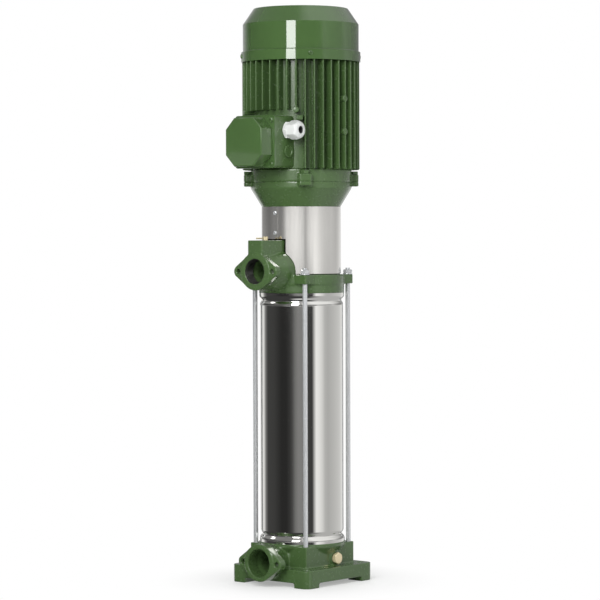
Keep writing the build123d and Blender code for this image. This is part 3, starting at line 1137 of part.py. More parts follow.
write("base", base())
write("drain_plug", drain_plug())
write("outer_casing", outer_casing())
write("casing_o_rings", o_ring(COLLAR_TOP), o_ring(CASING_TOP - SPIGOT_HEIGHT))
rod = rod_z(ROD_RADIUS, BLOCK_TOP - ROD_DEPTH_IN_BASE + 0.5, ROD_TOP)
write("tie_rods", *at_corners(ROD_CIRCLE_RADIUS, rod))
washer = tube_z(WASHER_RADIUS, ROD_RADIUS + BOLT_GAP, HEAD_FLANGE_TOP, HEAD_FLANGE_TOP + WASHER_THICKNESS)
write("tie_rod_washers", *at_corners(ROD_CIRCLE_RADIUS, washer))
nut_seat = HEAD_FLANGE_TOP + WASHER_THICKNESS
nut = Pos(0, 0, nut_seat) * hexagon(NUT_ACROSS_FLATS, NUT_HEIGHT)
nut -= rod_z(ROD_RADIUS + THREAD_FIT, nut_seat - 1, nut_seat + NUT_HEIGHT + 1)
write("tie_rod_nuts", *at_corners(ROD_CIRCLE_RADIUS, nut))

inlet_hub = (FIRST_STAGE_BOTTOM - 18, FIRST_STAGE_BOTTOM - 6)
outlet_hub = (LAST_STAGE_TOP + 6, LAST_STAGE_TOP + 18)
write("inlet_bowl", spider_bowl(COLLAR_TOP, FIRST_STAGE_BOTTOM, *inlet_hub, lip=False))
one_bowl = stage_bowl()
one_impeller = impeller()
for stage in range(STAGE_COUNT):
    lift = Pos(0, 0, FIRST_STAGE_BOTTOM + stage * STAGE_PITCH)
    write(f"stage_bowl_{stage + 1}", lift * one_bowl)
    write(f"impeller_{stage + 1}", lift * one_impeller)
write("outlet_bowl", spider_bowl(LAST_STAGE_TOP, CASING_TOP, *outlet_hub, lip=True))
bushes = [bush(FIRST_STAGE_BOTTOM + stage * STAGE_PITCH + DIFFUSER_DISC_LOW, BUSH_LENGTH)
          for stage in range(STAGE_COUNT)]
bushes += [bush(hub[0], hub[1] - hub[0]) for hub in (inlet_hub, outlet_hub)]
write("hub_bushes", *bushes)
write("pump_shaft", pump_shaft())
write("shaft_nut", shaft_nut())

write("discharge_head", discharge_head())
write("vent_screw", vent_screw())
write("seal_seat", tube_z(SEAT_RADIUS, SEAT_BORE_RADIUS, SEAT_BOTTOM, SEAT_LEDGE))
write("seal_face", tube_z(SEAL_FACE_RADIUS, PUMP_SHAFT_RADIUS + SEAT_FIT, SEAL_FACE_BOTTOM, SEAL_FACE_TOP))
write("seal_bellows", seal_bellows())
write("coupling_guard", coupling_guard())
write("guard_screws", *[guard_screw(height) for height in GUARD_SCREW_HEIGHTS])
write("motor_bracket", motor_bracket())
write("bracket_bolts", *[at_angle(BRACKET_BOLT_CIRCLE, angle) * bracket_bolt()
                         for angle in BRACKET_BOLT_ANGLES])
write("coupling_halves", coupling_halves())
write("coupling_bolts", *[coupling_bolt(front, height) for height in COUPLING_BOLT_HEIGHTS
                          for front in (-COUPLING_BOLT_PLACE, COUPLING_BOLT_PLACE)])

write("motor_shaft", motor_shaft())
write("bearing_inner_rings", bearing_inner(LOWER_BEARING_BOTTOM), bearing_inner(UPPER_BEARING_BOTTOM))
write("bearing_outer_rings", bearing_outer(LOWER_BEARING_BOTTOM), bearing_outer(UPPER_BEARING_BOTTOM))
write("bearing_seals", *bearing_seals(LOWER_BEARING_BOTTOM), *bearing_seals(UPPER_BEARING_BOTTOM))
write("lower_end_shield", lower_end_shield())
write("flange_screws", *at_corners(FLANGE_SCREW_CIRCLE, flange_screw()))
write("motor_frame", motor_frame())
write("stator_core", stator_core())
write("stator_windings", winding_head(CORE_BOTTOM, -1), winding_head(CORE_TOP, 1))
write("rotor_core", rotor_core())
write("upper_end_shield", upper_end_shield())
write("cooling_fan", fan())
write("fan_cover", fan_cover())
write("fan_cover_screws", *[turned(cover_screw(), angle) for angle in COVER_ANGLES])
write("terminal_box", terminal_box())
write("terminal_cover", terminal_cover())
write("terminal_cover_screws", *[cover_fixing(x, z) for x, z in box_screw_places()])
write("terminal_block", terminal_block())
write("cable_gland_body", gland_body())
write("cable_gland_nut", gland_nut())
write("blanking_plug", blanking_plug())
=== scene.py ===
"""Vertical multistage pump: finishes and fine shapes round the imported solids.

Sizes are in millimetres on the pump's own axes: +Z up the shaft, both ports and the terminal box
towards -Y.  They become metres where a mesh is made.
"""

from __future__ import annotations

import functools
import json
import logging
import math
import operator
from collections.abc import Iterable, Iterator
from contextlib import contextmanager
from dataclasses import dataclass
from enum import Enum

import bmesh
import bpy
import numpy as np
from mathutils import Matrix, Vector

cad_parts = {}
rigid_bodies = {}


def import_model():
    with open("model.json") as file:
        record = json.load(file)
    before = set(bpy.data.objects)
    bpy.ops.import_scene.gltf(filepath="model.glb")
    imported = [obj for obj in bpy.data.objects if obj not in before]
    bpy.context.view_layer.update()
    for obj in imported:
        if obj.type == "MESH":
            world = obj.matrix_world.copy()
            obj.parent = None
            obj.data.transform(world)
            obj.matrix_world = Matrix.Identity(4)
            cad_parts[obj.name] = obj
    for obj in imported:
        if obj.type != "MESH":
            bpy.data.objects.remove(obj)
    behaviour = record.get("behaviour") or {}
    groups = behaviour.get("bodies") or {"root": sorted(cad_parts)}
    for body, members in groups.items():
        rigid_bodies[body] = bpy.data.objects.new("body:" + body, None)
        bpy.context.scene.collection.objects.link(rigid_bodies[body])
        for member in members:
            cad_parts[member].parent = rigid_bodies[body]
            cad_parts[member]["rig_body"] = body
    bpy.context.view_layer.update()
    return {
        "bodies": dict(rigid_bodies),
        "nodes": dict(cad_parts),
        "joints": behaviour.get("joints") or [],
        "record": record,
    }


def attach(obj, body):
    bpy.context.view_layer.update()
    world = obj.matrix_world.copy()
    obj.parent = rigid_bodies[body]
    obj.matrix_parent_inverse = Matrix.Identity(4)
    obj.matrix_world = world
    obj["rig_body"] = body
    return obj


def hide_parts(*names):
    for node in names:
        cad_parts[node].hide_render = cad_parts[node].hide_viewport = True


LOG = logging.getLogger("pump")
MM = 0.001
FULL_TURN = 2 * math.pi
BODY = "pump_body"
CORNERS = (45, 135, 225, 315)  # tie rods, in degrees from -Y
Linear = tuple[float, float, float, float]  # red, green, blue and alpha, as nodes take them

TINY = 1e-9  # keeps a division by a length of nothing from failing
WELD_GAP = 2e-6  # points this close, in metres, become one
CLOSED_EDGE = 1e-6  # edges this short, in metres, are closed up
TURNED_SPREAD = 3e-5  # metres by which a facet of a turned shape may miss its cone
TURNED_ASIDE = 0.06  # how far such a facet's normal may point aside
FLAT_ANGLE = 0.6  # facets that bend less than this many degrees are merged before rounding
BUMP_MM = 0.1  # the depth that a paint's height pattern is counted in
FLOOR_DROP = 0.4  # millimetres that the floor lies below the feet


class Wire:
    """A shader value that takes part in ordinary arithmetic."""

    def __init__(self, graph: Graph, socket: bpy.types.NodeSocket | None) -> None:
        """Keeps the socket and the graph that it belongs to."""
        self.graph = graph
        self.socket = socket

    def maths(self, operation: str, first: Wire | float, second: Wire | float = 0.0) -> Wire:
        """Adds one Math node.

        Args:
            operation: the Math node's operation.
            first: the upper value.
            second: the lower value.

        Returns:
            The node's result.
        """
        return self.graph.node("ShaderNodeMath", {"operation": operation}, {0: first, 1: second})

    def __add__(self, other: Wire | float) -> Wire:
        """Sum."""
        return self.maths("ADD", self, other)

    def __radd__(self, other: float) -> Wire:
        """Sum, with the number first."""
        return self.maths("ADD", other, self)

    def __sub__(self, other: Wire | float) -> Wire:
        """Difference."""
        return self.maths("SUBTRACT", self, other)

    def __rsub__(self, other: float) -> Wire:
        """Difference, with the number first."""
        return self.maths("SUBTRACT", other, self)

    def __mul__(self, other: Wire | float) -> Wire:
        """Product."""
        return self.maths("MULTIPLY", self, other)

    def __rmul__(self, other: float) -> Wire:
        """Product, with the number first."""
        return self.maths("MULTIPLY", other, self)

    def __truediv__(self, other: Wire | float) -> Wire:
        """Quotient."""
        return self.maths("DIVIDE", self, other)

    def off(self, middle: float) -> Wire:
        """How far the value is from a number."""
        return self.maths("ABSOLUTE", self - middle)

    def above(self, edge: float, width: float) -> Wire:
        """Rises smoothly from 0 to 1 between edge and edge + width.

        Args:
            edge: where the rise begins.
            width: how long it takes.

        Returns:
            The smooth step.
        """
        settings = {"interpolation_type": "SMOOTHSTEP"}
        values = {"Value": self, "From Min": edge, "From Max": edge + width}
        return self.graph.node("ShaderNodeMapRange", settings, values)


class Graph:
    """The node tree of a material or of the world."""

    def __init__(self, tree: bpy.types.NodeTree) -> None:
        """Empties the tree."""
        self.tree = tree
        tree.nodes.clear()

    def node(self, kind: str, settings: dict | None = None, values: dict | None = None,
             out: int | str = 0) -> Wire:
        """Adds one node.

        Args:
            kind: the node's type.
            settings: its own properties, set first; "stops" holds a ramp's (place, colour) pairs.
            values: the numbers, colours or wires of its sockets.
            out: which output to hand back.

        Returns:
            The chosen output.
        """
        made = self.tree.nodes.new(kind)
        for key, value in (settings or {}).items():
            if key == "stops":
                self._set_stops(made.color_ramp, value)
            else:
                setattr(made, key, value)
        for key, value in (values or {}).items():
            if isinstance(value, Wire):
                self.tree.links.new(value.socket, made.inputs[key])
            else:
                made.inputs[key].default_value = value
        return Wire(self, made.outputs[out] if made.outputs else None)

    @staticmethod
    def _set_stops(ramp: bpy.types.ColorRamp, stops: list[tuple[float, float]]) -> None:
        """Writes a grey ramp.

        Args:
            ramp: the ramp to fill.
            stops: pairs of place and brightness.
        """
        while len(ramp.elements) > 1:
            ramp.elements.remove(ramp.elements[-1])
        ramp.elements[0].position = stops[0][0]
        for place, _ in stops[1:]:
            ramp.elements.new(place)
        for element, (_, value) in zip(ramp.elements, stops):
            element.color = grey(value)

    def place(self, scale: tuple[float, float, float] = (1, 1, 1)) -> Wire:
        """Object coordinates, stretched.

        Args:
            scale: the pattern's repeats per metre along each axis.

        Returns:
            The stretched place.
        """
        coordinates = self.node("ShaderNodeTexCoord", out="Object")
        return self.node("ShaderNodeVectorMath", {"operation": "MULTIPLY"},
                         {0: coordinates, 1: scale})

    def noise(self, scale: tuple[float, float, float], detail: float = 2.0,
              roughness: float = 0.5) -> Wire:
        """Cloudy noise on object coordinates.

        Args:
            scale: repeats per metre along each axis.
            detail: layers of finer noise.
            roughness: the share of the finer layers.

        Returns:
            A value about 0.5.
        """
        values = {"Vector": self.place(scale), "Scale": 1.0, "Detail": detail,
                  "Roughness": roughness}
        return self.node("ShaderNodeTexNoise", None, values, "Fac")

    def blend(self, factor: Wire | float, low: tuple | Wire, high: tuple | Wire) -> Wire:
        """Mixes two colours.

        Args:
            factor: 0 gives low, 1 gives high.
            low: a colour.
            high: a colour.

        Returns:
            The mixed colour.
        """
        return self.node("ShaderNodeMix", {"data_type": "RGBA"}, {0: factor, 6: low, 7: high}, 2)

    def bump(self, height: Wire, depth_mm: float) -> Wire:
        """Turns a height pattern into a normal.

        Args:
            height: the pattern, 0 to 1.
            depth_mm: its depth.

        Returns:
            The normal.
        """
        return self.node("ShaderNodeBump", None,
                         {"Strength": 1.0, "Distance": depth_mm * MM, "Height": height})

    def edges(self, radius_mm: float) -> Wire:
        """Finds convex and concave edges by comparing the face's normal with a rounded one.

        Args:
            radius_mm: how far from the edge it reaches.

        Returns:
            0 on open faces, rising to 1 at edges.
        """
        rounded = self.node("ShaderNodeBevel", {"samples": 4}, {"Radius": radius_mm * MM})
        plain = self.node("ShaderNodeNewGeometry", out="Normal")
        agree = self.node("ShaderNodeVectorMath", {"operation": "DOT_PRODUCT"},
                          {0: rounded, 1: plain}, "Value")
        return (1.0 - agree).above(0.02, 0.25)


def colour(red: float, green: float, blue: float) -> Linear:
    """A colour written as it looks on a screen, 0 to 255, as the linear values that nodes take.

    Args:
        red: red share.
        green: green share.
        blue: blue share.

    Returns:
        Linear red, green, blue and alpha.
    """
    shares = np.array([red, green, blue]) / 255
    linear = np.where(shares <= 0.04045, shares / 12.92, ((shares + 0.055) / 1.055) ** 2.4)
    return (*linear.tolist(), 1.0)


def grey(value: float) -> Linear:
    """An even linear colour."""
    return (value, value, value, 1.0)


def shade(base: Linear, factor: float, lift: float = 0.0) -> Linear:
    """A darker or paler colour: each share times the factor plus the lift, and at most 1."""
    return (*(min(1.0, factor * part + lift) for part in base[:3]), 1.0)


class Finish:
    """A surface finish; each kind fills in dress()."""

    title = "finish"

    def material(self) -> bpy.types.Material:
        """Makes the material once and hands back the same one afterwards.

        Returns:
            The material of this finish.
        """
        name = f"{self.title}_finish"
        made = bpy.data.materials.get(name)
        if made is None:
            made = bpy.data.materials.new(name)
            made.use_nodes = True
            graph = Graph(made.node_tree)
            shader = self.dress(graph)
            graph.node("ShaderNodeOutputMaterial", None, {"Surface": shader})
        return made

    def dress(self, graph: Graph) -> Wire:
        """Builds the shader.

        Args:
            graph: the material's graph.

        Returns:
            The shader's output.
        """
        raise NotImplementedError


@dataclass(frozen=True)
class Paint(Finish):
    """Sprayed enamel: cloudy tone, a fine grain from the surface below, paler thin edges."""

    title: str
    tone: tuple[float, float, float] = (70, 100, 55)
    roughness: float = 0.3
    grain_mm: float = 2.2
    grain_depth: float = 0.02
    peel_depth: float = 0.008
    coat: float = 0.5
    edge_gain: float = 0.3
    coat_roughness: float = 0.13

    def dress(self, graph: Graph) -> Wire:
        """Enamel over a cast or pressed surface; see Finish.dress."""
        cloud = graph.noise((9, 9, 9), 3.0)
        fine = graph.noise((160, 160, 160), 2.0)
        base = colour(*self.tone)
        body = graph.blend(cloud.above(0.3, 0.45), shade(base, 0.88), base)
        edge = graph.edges(0.9) * fine.above(0.35, 0.4) * self.edge_gain
        body = graph.blend(edge, body, shade(base, 1.35, 0.012))
        per_metre = 1 / (self.grain_mm * MM)
        grain = graph.noise((per_metre,) * 3, 3.0, 0.6)
        peel = graph.noise((420, 420, 420), 1.0)
        height = grain * (self.grain_depth / BUMP_MM) + peel * (self.peel_depth / BUMP_MM)
        rough = self.roughness + (fine - 0.5) * (0.4 * self.roughness)
        return graph.node("ShaderNodeBsdfPrincipled", None, {
            "Base Color": body, "Roughness": rough, "Normal": graph.bump(height, BUMP_MM),
            "Coat Weight": self.coat, "Coat Roughness": self.coat_roughness, "IOR": 1.5})


class Grain(Enum):
    """Which way the fine lines of a worked metal surface run."""

    NONE = (1.0, 1.0, 1.0)
    UPRIGHT = (1.0, 1.0, 0.006)
    AROUND = (0.01, 0.01, 1.0)


@dataclass(frozen=True)
class Metal(Finish):
    """Bare or plated metal with fine working lines and faint staining."""

    title: str
    tone: tuple[float, float, float] = (226, 226, 224)
    roughness: float = 0.2
    grain: Grain = Grain.NONE
    lines_per_mm: float = 2.0
    line_depth: float = 0.002
    stain: float = 0.12
    metallic: float = 1.0

    def dress(self, graph: Graph) -> Wire:
        """Metal with lines along its grain; see Finish.dress."""
        stretch = tuple(self.lines_per_mm / MM * part for part in self.grain.value)
        lines = graph.noise(stretch, 2.0, 0.6)
        cloud = graph.noise((22, 22, 22), 3.0)
        base = colour(*self.tone)
        stained = cloud.above(0.35, 0.4) * self.stain + lines * self.stain
        tint = graph.blend(stained, base, shade(base, 0.78))
        rough = self.roughness + (lines - 0.5) * (0.5 * self.roughness)
        return graph.node("ShaderNodeBsdfPrincipled", None, {
            "Base Color": tint, "Roughness": rough, "Metallic": self.metallic,
            "Normal": graph.bump(lines, self.line_depth)})


@dataclass(frozen=True)
class Moulded(Finish):
    """Moulded plastic, rubber, ceramic or carbon with a fine texture and soft tone changes."""

    title: str
    tone: tuple[float, float, float] = (225, 226, 225)
    roughness: float = 0.4
    texture_mm: float = 0.5
    texture_depth: float = 0.01
    change: float = 0.1

    def dress(self, graph: Graph) -> Wire:
        """A dull moulded skin; see Finish.dress."""
        per_metre = 1 / (self.texture_mm * MM)
        texture = graph.noise((per_metre,) * 3, 2.0)
        cloud = graph.noise((60, 60, 60), 2.0)
        base = colour(*self.tone)
        tint = graph.blend(cloud.above(0.3, 0.4), shade(base, 1 - self.change), base)
        rough = self.roughness + (texture - 0.5) * 0.1
        return graph.node("ShaderNodeBsdfPrincipled", None, {
            "Base Color": tint, "Roughness": rough,
            "Normal": graph.bump(texture, self.texture_depth)})


@dataclass(frozen=True)
class Winding(Finish):
    """Varnished copper wire laid round in a bundle."""

    title: str = "copper_winding"
    wire_mm: float = 0.9

    def dress(self, graph: Graph) -> Wire:
        """Rows of wire across the bundle; see Finish.dress."""
        rows = graph.node("ShaderNodeTexWave", {"wave_type": "BANDS", "bands_direction": "Z"}, {
            "Vector": graph.place(), "Scale": 1 / (self.wire_mm * MM) / 6, "Distortion": 4.0,
            "Detail": 2.0}, "Fac")
        tint = graph.blend(rows, colour(96, 44, 20), colour(176, 96, 52))
        return graph.node("ShaderNodeBsdfPrincipled", None, {
            "Base Color": tint, "Roughness": 0.35, "Coat Weight": 0.4,
            "Normal": graph.bump(rows, 0.2)})


CASTING = Paint("green_paint", (72, 98, 56), 0.26)
SMOOTH_PAINT = Paint("cover_paint", (71, 99, 55), 0.07, 6.0, 0.006, 0.004, 1.0, 0.2, 0.03)
# Near-black painted shade for the inside of the discharge bore: the bore's casting is as green as
# the rest, and this dark colour stands for the shade deep inside it.
BORE_SHADE_PAINT = Paint("bore_shade_paint", (30, 32, 25), 0.55, coat=0.0, edge_gain=0.1)
POLISHED = Metal("polished_steel", (233, 232, 228), 0.03, Grain.AROUND, 3.0, 0.0002, 0.04)
BRUSHED = Metal("brushed_steel", (224, 222, 218), 0.12, Grain.UPRIGHT, 2.0, 0.002, 0.08)
ZINC = Metal("zinc_steel", (220, 222, 224), 0.25, Grain.AROUND, 4.0, 0.002, 0.2, metallic=0.55)
BRASS = Metal("brass", (250, 234, 194), 0.25, Grain.AROUND, 4.0, 0.002, 0.15, metallic=0.55)
PRESSED = Metal("stage_steel", (206, 205, 200), 0.28, Grain.AROUND, 3.0, 0.002, 0.2)
GROUND = Metal("shaft_steel", (210, 210, 210), 0.18, Grain.AROUND, 5.0, 0.0015, 0.1)
BEARING = Metal("bearing_steel", (224, 224, 226), 0.12, Grain.AROUND, 5.0, 0.001, 0.06)
CORE = Metal("core_steel", (146, 147, 150), 0.45, Grain.AROUND, 2.0, 0.01, 0.3)
GLAND_PLASTIC = Moulded("gland_plastic", (220, 222, 220), 0.38)
BLACK_PLASTIC = Moulded("terminal_plastic", (52, 52, 53), 0.42)
FAN_PLASTIC = Moulded("fan_plastic", (44, 45, 46), 0.5)
RUBBER = Moulded("seal_rubber", (36, 36, 36), 0.6, 0.8, 0.02)
CERAMIC = Moulded("seal_ceramic", (236, 232, 222), 0.2, 0.4, 0.002, 0.04)
CARBON = Moulded("bush_carbon", (58, 58, 60), 0.35, 0.4, 0.004)
FINISHES: dict[str, Finish] = {finish.title: finish for finish in (
    CASTING, SMOOTH_PAINT, POLISHED, BRUSHED, ZINC, BRASS, PRESSED, GROUND, BEARING, CORE,
    GLAND_PLASTIC, BLACK_PLASTIC, FAN_PLASTIC, RUBBER, CERAMIC, CARBON, Winding())}


@dataclass
class Surface:
    """Points in millimetres and four-cornered faces; a corner used twice makes a triangle."""

    points: np.ndarray
    faces: np.ndarray

    @staticmethod
    def grid(points: np.ndarray, wrap_rows: bool = False, wrap_columns: bool = False) -> Surface:
        """Joins neighbours of a grid of points: face (i, j) has corners (i, j) ... (i + 1, j + 1).

        Args:
            points: rows x columns x 3.
            wrap_rows: the last row joins the first.
            wrap_columns: the last column joins the first.

        Returns:
            The surface.
        """
        rows, columns = points.shape[:2]
        row = np.arange(rows if wrap_rows else rows - 1)[:, None]
        column = np.arange(columns if wrap_columns else columns - 1)[None, :]
        next_row, next_column = (row + 1) % rows, (column + 1) % columns
        corners = [row * columns + column, row * columns + next_column,
                   next_row * columns + next_column, next_row * columns + column]
        faces = np.stack([np.broadcast_to(c, (row.size, column.size)) for c in corners], axis=-1)
        return Surface(points.reshape(-1, 3), faces.reshape(-1, 4))

    @staticmethod
    def lathe(profile: np.ndarray | list[tuple[float, float]], segments: int = 96,
              closed: bool = False) -> Surface:
        """Turns a profile round Z: the point is (r cos t, r sin t, z) for each angle t.

        Args:
            profile: (radius, height) rows.
            segments: steps round the circle.
            closed: the profile's last point joins its first.

        Returns:
            The surface of revolution.
        """
        turn = np.linspace(0, FULL_TURN, segments, endpoint=False)
        radius, height = np.array(profile, float).T[..., None]
        return Surface.grid(polar(radius, turn, height), wrap_rows=closed, wrap_columns=True)

    @staticmethod
    def tablet(width: float, height: float, depth: float, corner: float, edge: float) -> Surface:
        """A block that stands on Z = 0: a rounded outline, and a top edge drawn in by a bend.

        Args:
            width: size along X.
            height: size along Y.
            depth: size along Z.
            corner: the outline's corner radius.
            edge: how far the top edge is drawn in.

        Returns:
            The surface.
        """
        half = np.array([width / 2, height / 2])
        outline = rounded([(x * half[0], y * half[1])
                           for x, y in ((-1, -1), (1, -1), (1, 1), (-1, 1))], corner, 4, True)
        levels = [(1, 0), (0, 0), (0, depth - edge), (0.29 * edge, depth - 0.29 * edge),
                  (edge, depth), (1, depth)]
        rows = [np.column_stack([outline * (0 if inset == 1 else 1 - inset / half),
                                 np.full(len(outline), level)]) for inset, level in levels]
        return Surface.grid(np.array(rows), wrap_columns=True)

    def spun(self, degrees: float) -> Surface:
        """Turned about Z, counted from -Y towards +X.

        Args:
            degrees: the angle.

        Returns:
            The turned surface.
        """
        turn = math.radians(degrees)
        matrix = np.array([[math.cos(turn), math.sin(turn), 0],
                           [-math.sin(turn), math.cos(turn), 0], [0, 0, 1]])
        return Surface(self.points @ matrix, self.faces)

    def moved(self, x: float = 0, y: float = 0, z: float = 0) -> Surface:
        """Shifted by x, y and z millimetres."""
        return Surface(self.points + np.array([x, y, z]), self.faces)

    def facing(self, direction: str) -> Surface:
        """Laid over, so that its own Z points along "-Y" or "+X"."""
        x, y, z = self.points.T
        turned = np.stack([x, -z, y] if direction == "-Y" else [z, x, y], axis=1)
        return Surface(turned, self.faces)

    def __add__(self, other: Surface) -> Surface:
        """Both surfaces as one."""
        return Surface(np.vstack([self.points, other.points]),
                       np.vstack([self.faces, other.faces + len(self.points)]))


def joined(parts: Iterable[Surface]) -> Surface:
    """Several surfaces as one, in their order."""
    return functools.reduce(operator.add, parts)


def polar(radius: np.ndarray | float, turn: np.ndarray, level: np.ndarray | float) -> np.ndarray:
    """The points (r cos t, r sin t, z) for each radius r, angle t and height z."""
    x, y = radius * np.cos(turn), radius * np.sin(turn)
    return np.stack([x, y, level + 0 * x], axis=-1)


def hexagon_radius(flats: float, turn: np.ndarray) -> np.ndarray:
    """A hexagon's radius at an angle: (flats / 2) / cos(the angle folded into +-30 degrees)."""
    fold = (turn + math.pi / 6) % (math.pi / 3) - math.pi / 6
    return flats / 2 / np.cos(fold)


def rounded(corners: list[tuple[float, float]], radius: float, steps: int = 5,
            closed: bool = False) -> np.ndarray:
    """Rounds a profile's corners.

    Each corner P becomes the curve (1-t)^2 A + 2t(1-t) P + t^2 B, where A and B lie on its two
    sides, a radius away or at most 45 % of the side.

    Args:
        corners: the profile's (radius, height) corners.
        radius: how far the rounding reaches along each side.
        steps: points per corner.
        closed: every corner is rounded, the first and last too.

    Returns:
        The rounded profile.
    """
    points = np.array(corners, float)
    before, after = np.roll(points, 1, axis=0), np.roll(points, -1, axis=0)
    reach = []
    for side in (before, after):
        length = np.maximum(np.linalg.norm(side - points, axis=1), TINY)
        reach.append(points + (side - points) * np.minimum(radius / length, 0.45)[:, None])
    t = np.linspace(0, 1, steps)[None, :, None]
    curve = ((1 - t) ** 2 * reach[0][:, None] + 2 * t * (1 - t) * points[:, None]
             + t ** 2 * reach[1][:, None])
    if closed:
        return curve.reshape(-1, 2)
    return np.vstack([points[:1], curve[1:-1].reshape(-1, 2), points[-1:]])


def eased(profile: np.ndarray, gap: float = 0.4) -> np.ndarray:
    """Puts a point near both ends of every long side, so that the side between them shades flat.

    Args:
        profile: the profile's points.
        gap: how far from the ends the new points lie.

    Returns:
        The profile with its new points.
    """
    start, end = profile[:-1], profile[1:]
    length = np.maximum(np.linalg.norm(end - start, axis=1), TINY)
    step = (end - start) * np.minimum(gap / length, 0.3)[:, None]
    rows = np.stack([start, start + step, end - step], axis=1)
    long = length > 5 * gap
    keep = np.stack([np.ones_like(long), long, long], axis=1)
    return np.vstack([rows[keep], profile[-1:]])


def read(items: object, field: str, width: int) -> np.ndarray:
    """Reads one field of all of a mesh's parts.

    Args:
        items: the vertices, faces or corners.
        field: the field's name.
        width: numbers per part.

    Returns:
        One row per part.
    """
    values = np.empty(len(items) * width, np.float64)
    items.foreach_get(field, values)
    return values.reshape(-1, width)


def true_normals(mesh: bpy.types.Mesh) -> None:
    """Gives the facets of shapes turned about Z the normals of the round shape they stand for.

    A facet counts as turned when nr r + nz z is the same at all its corners, nr and nz being the
    radial and upright parts of its normal.  Each of its corners then gets the normal
    (nr cos t, nr sin t, nz) at its own angle t; every other corner keeps its normal.

    Args:
        mesh: the mesh, in metres.
    """
    first = read(mesh.polygons, "loop_start", 1)[:, 0].astype(int)
    owner = np.repeat(np.arange(len(first)), read(mesh.polygons, "loop_total", 1)[:, 0].astype(int))
    normal, centre = read(mesh.polygons, "normal", 3), read(mesh.polygons, "center", 3)
    place = read(mesh.vertices, "co", 3)[read(mesh.loops, "vertex_index", 1)[:, 0].astype(int)]
    out = centre[:, :2] / np.maximum(np.linalg.norm(centre[:, :2], axis=1), TINY)[:, None]
    radial = (normal[:, :2] * out).sum(axis=1)
    aside = normal[:, 1] * out[:, 0] - normal[:, 0] * out[:, 1]
    radius = np.linalg.norm(place[:, :2], axis=1)
    level = radial[owner] * radius + normal[owner, 2] * place[:, 2]
    spread = np.maximum.reduceat(level, first) - np.minimum.reduceat(level, first)
    turned = ((spread < TURNED_SPREAD) & (np.abs(aside) < TURNED_ASIDE))[owner]
    away = place[:, :2] / np.maximum(radius, TINY)[:, None]
    made = np.column_stack([radial[owner, None] * away, normal[owner, 2]])
    kept = read(mesh.corner_normals, "vector", 3)
    mesh.normals_split_custom_set(np.where(turned[:, None], made, kept).tolist())


@contextmanager
def edited(mesh: bpy.types.Mesh) -> Iterator[bmesh.types.BMesh]:
    """Opens a mesh for editing and writes it back at the end.

    Args:
        mesh: the mesh.

    Yields:
        The mesh in its editable form.
    """
    work = bmesh.new()
    work.from_mesh(mesh)
    yield work
    work.to_mesh(mesh)
    work.free()


def weld_mesh(mesh: bpy.types.Mesh, flip: bool = True) -> None:
    """Merges double points, drops faces that have closed up and turns all faces outwards.

    Args:
        mesh: the mesh, in metres.
        flip: whether the faces' directions are worked out again.
    """
    with edited(mesh) as work:
        bmesh.ops.remove_doubles(work, verts=work.verts, dist=WELD_GAP)
        bmesh.ops.dissolve_degenerate(work, edges=work.edges, dist=CLOSED_EDGE)
        if flip:
            bmesh.ops.recalc_face_normals(work, faces=work.faces)


def mesh_of(name: str, surface: Surface, flip: bool = True) -> bpy.types.Mesh:
    """Makes a welded mesh from a surface.

    Args:
        name: the mesh's name.
        surface: its shape, in millimetres.
        flip: whether the faces' directions are worked out again.

    Returns:
        The mesh, in metres.
    """
    mesh = bpy.data.meshes.new(name)
    mesh.from_pydata((surface.points * MM).tolist(), [],
                     [list(dict.fromkeys(face)) for face in surface.faces.tolist()])
    weld_mesh(mesh, flip)
    return mesh


def placed(name: str, data: bpy.types.ID) -> bpy.types.Object:
    """Makes an object and links it to the scene.

    Args:
        name: the object's name.
        data: its mesh, lamp or camera.

    Returns:
        The object.
    """
    made = bpy.data.objects.new(name, data)
    bpy.context.scene.collection.objects.link(made)
    return made


def modify(piece: bpy.types.Object, name: str, kind: str, **settings: object) -> None:
    """Adds a modifier.

    Args:
        piece: the object.
        name: the modifier's name.
        kind: its type.
        settings: its own properties.
    """
    made = piece.modifiers.new(name, kind)
    for key, value in settings.items():
        setattr(made, key, value)


def evaluated(piece: bpy.types.Object) -> bpy.types.Mesh:
    """A new mesh of the piece with its modifiers applied."""
    depsgraph = bpy.context.evaluated_depsgraph_get()
    return bpy.data.meshes.new_from_object(piece.evaluated_get(depsgraph))


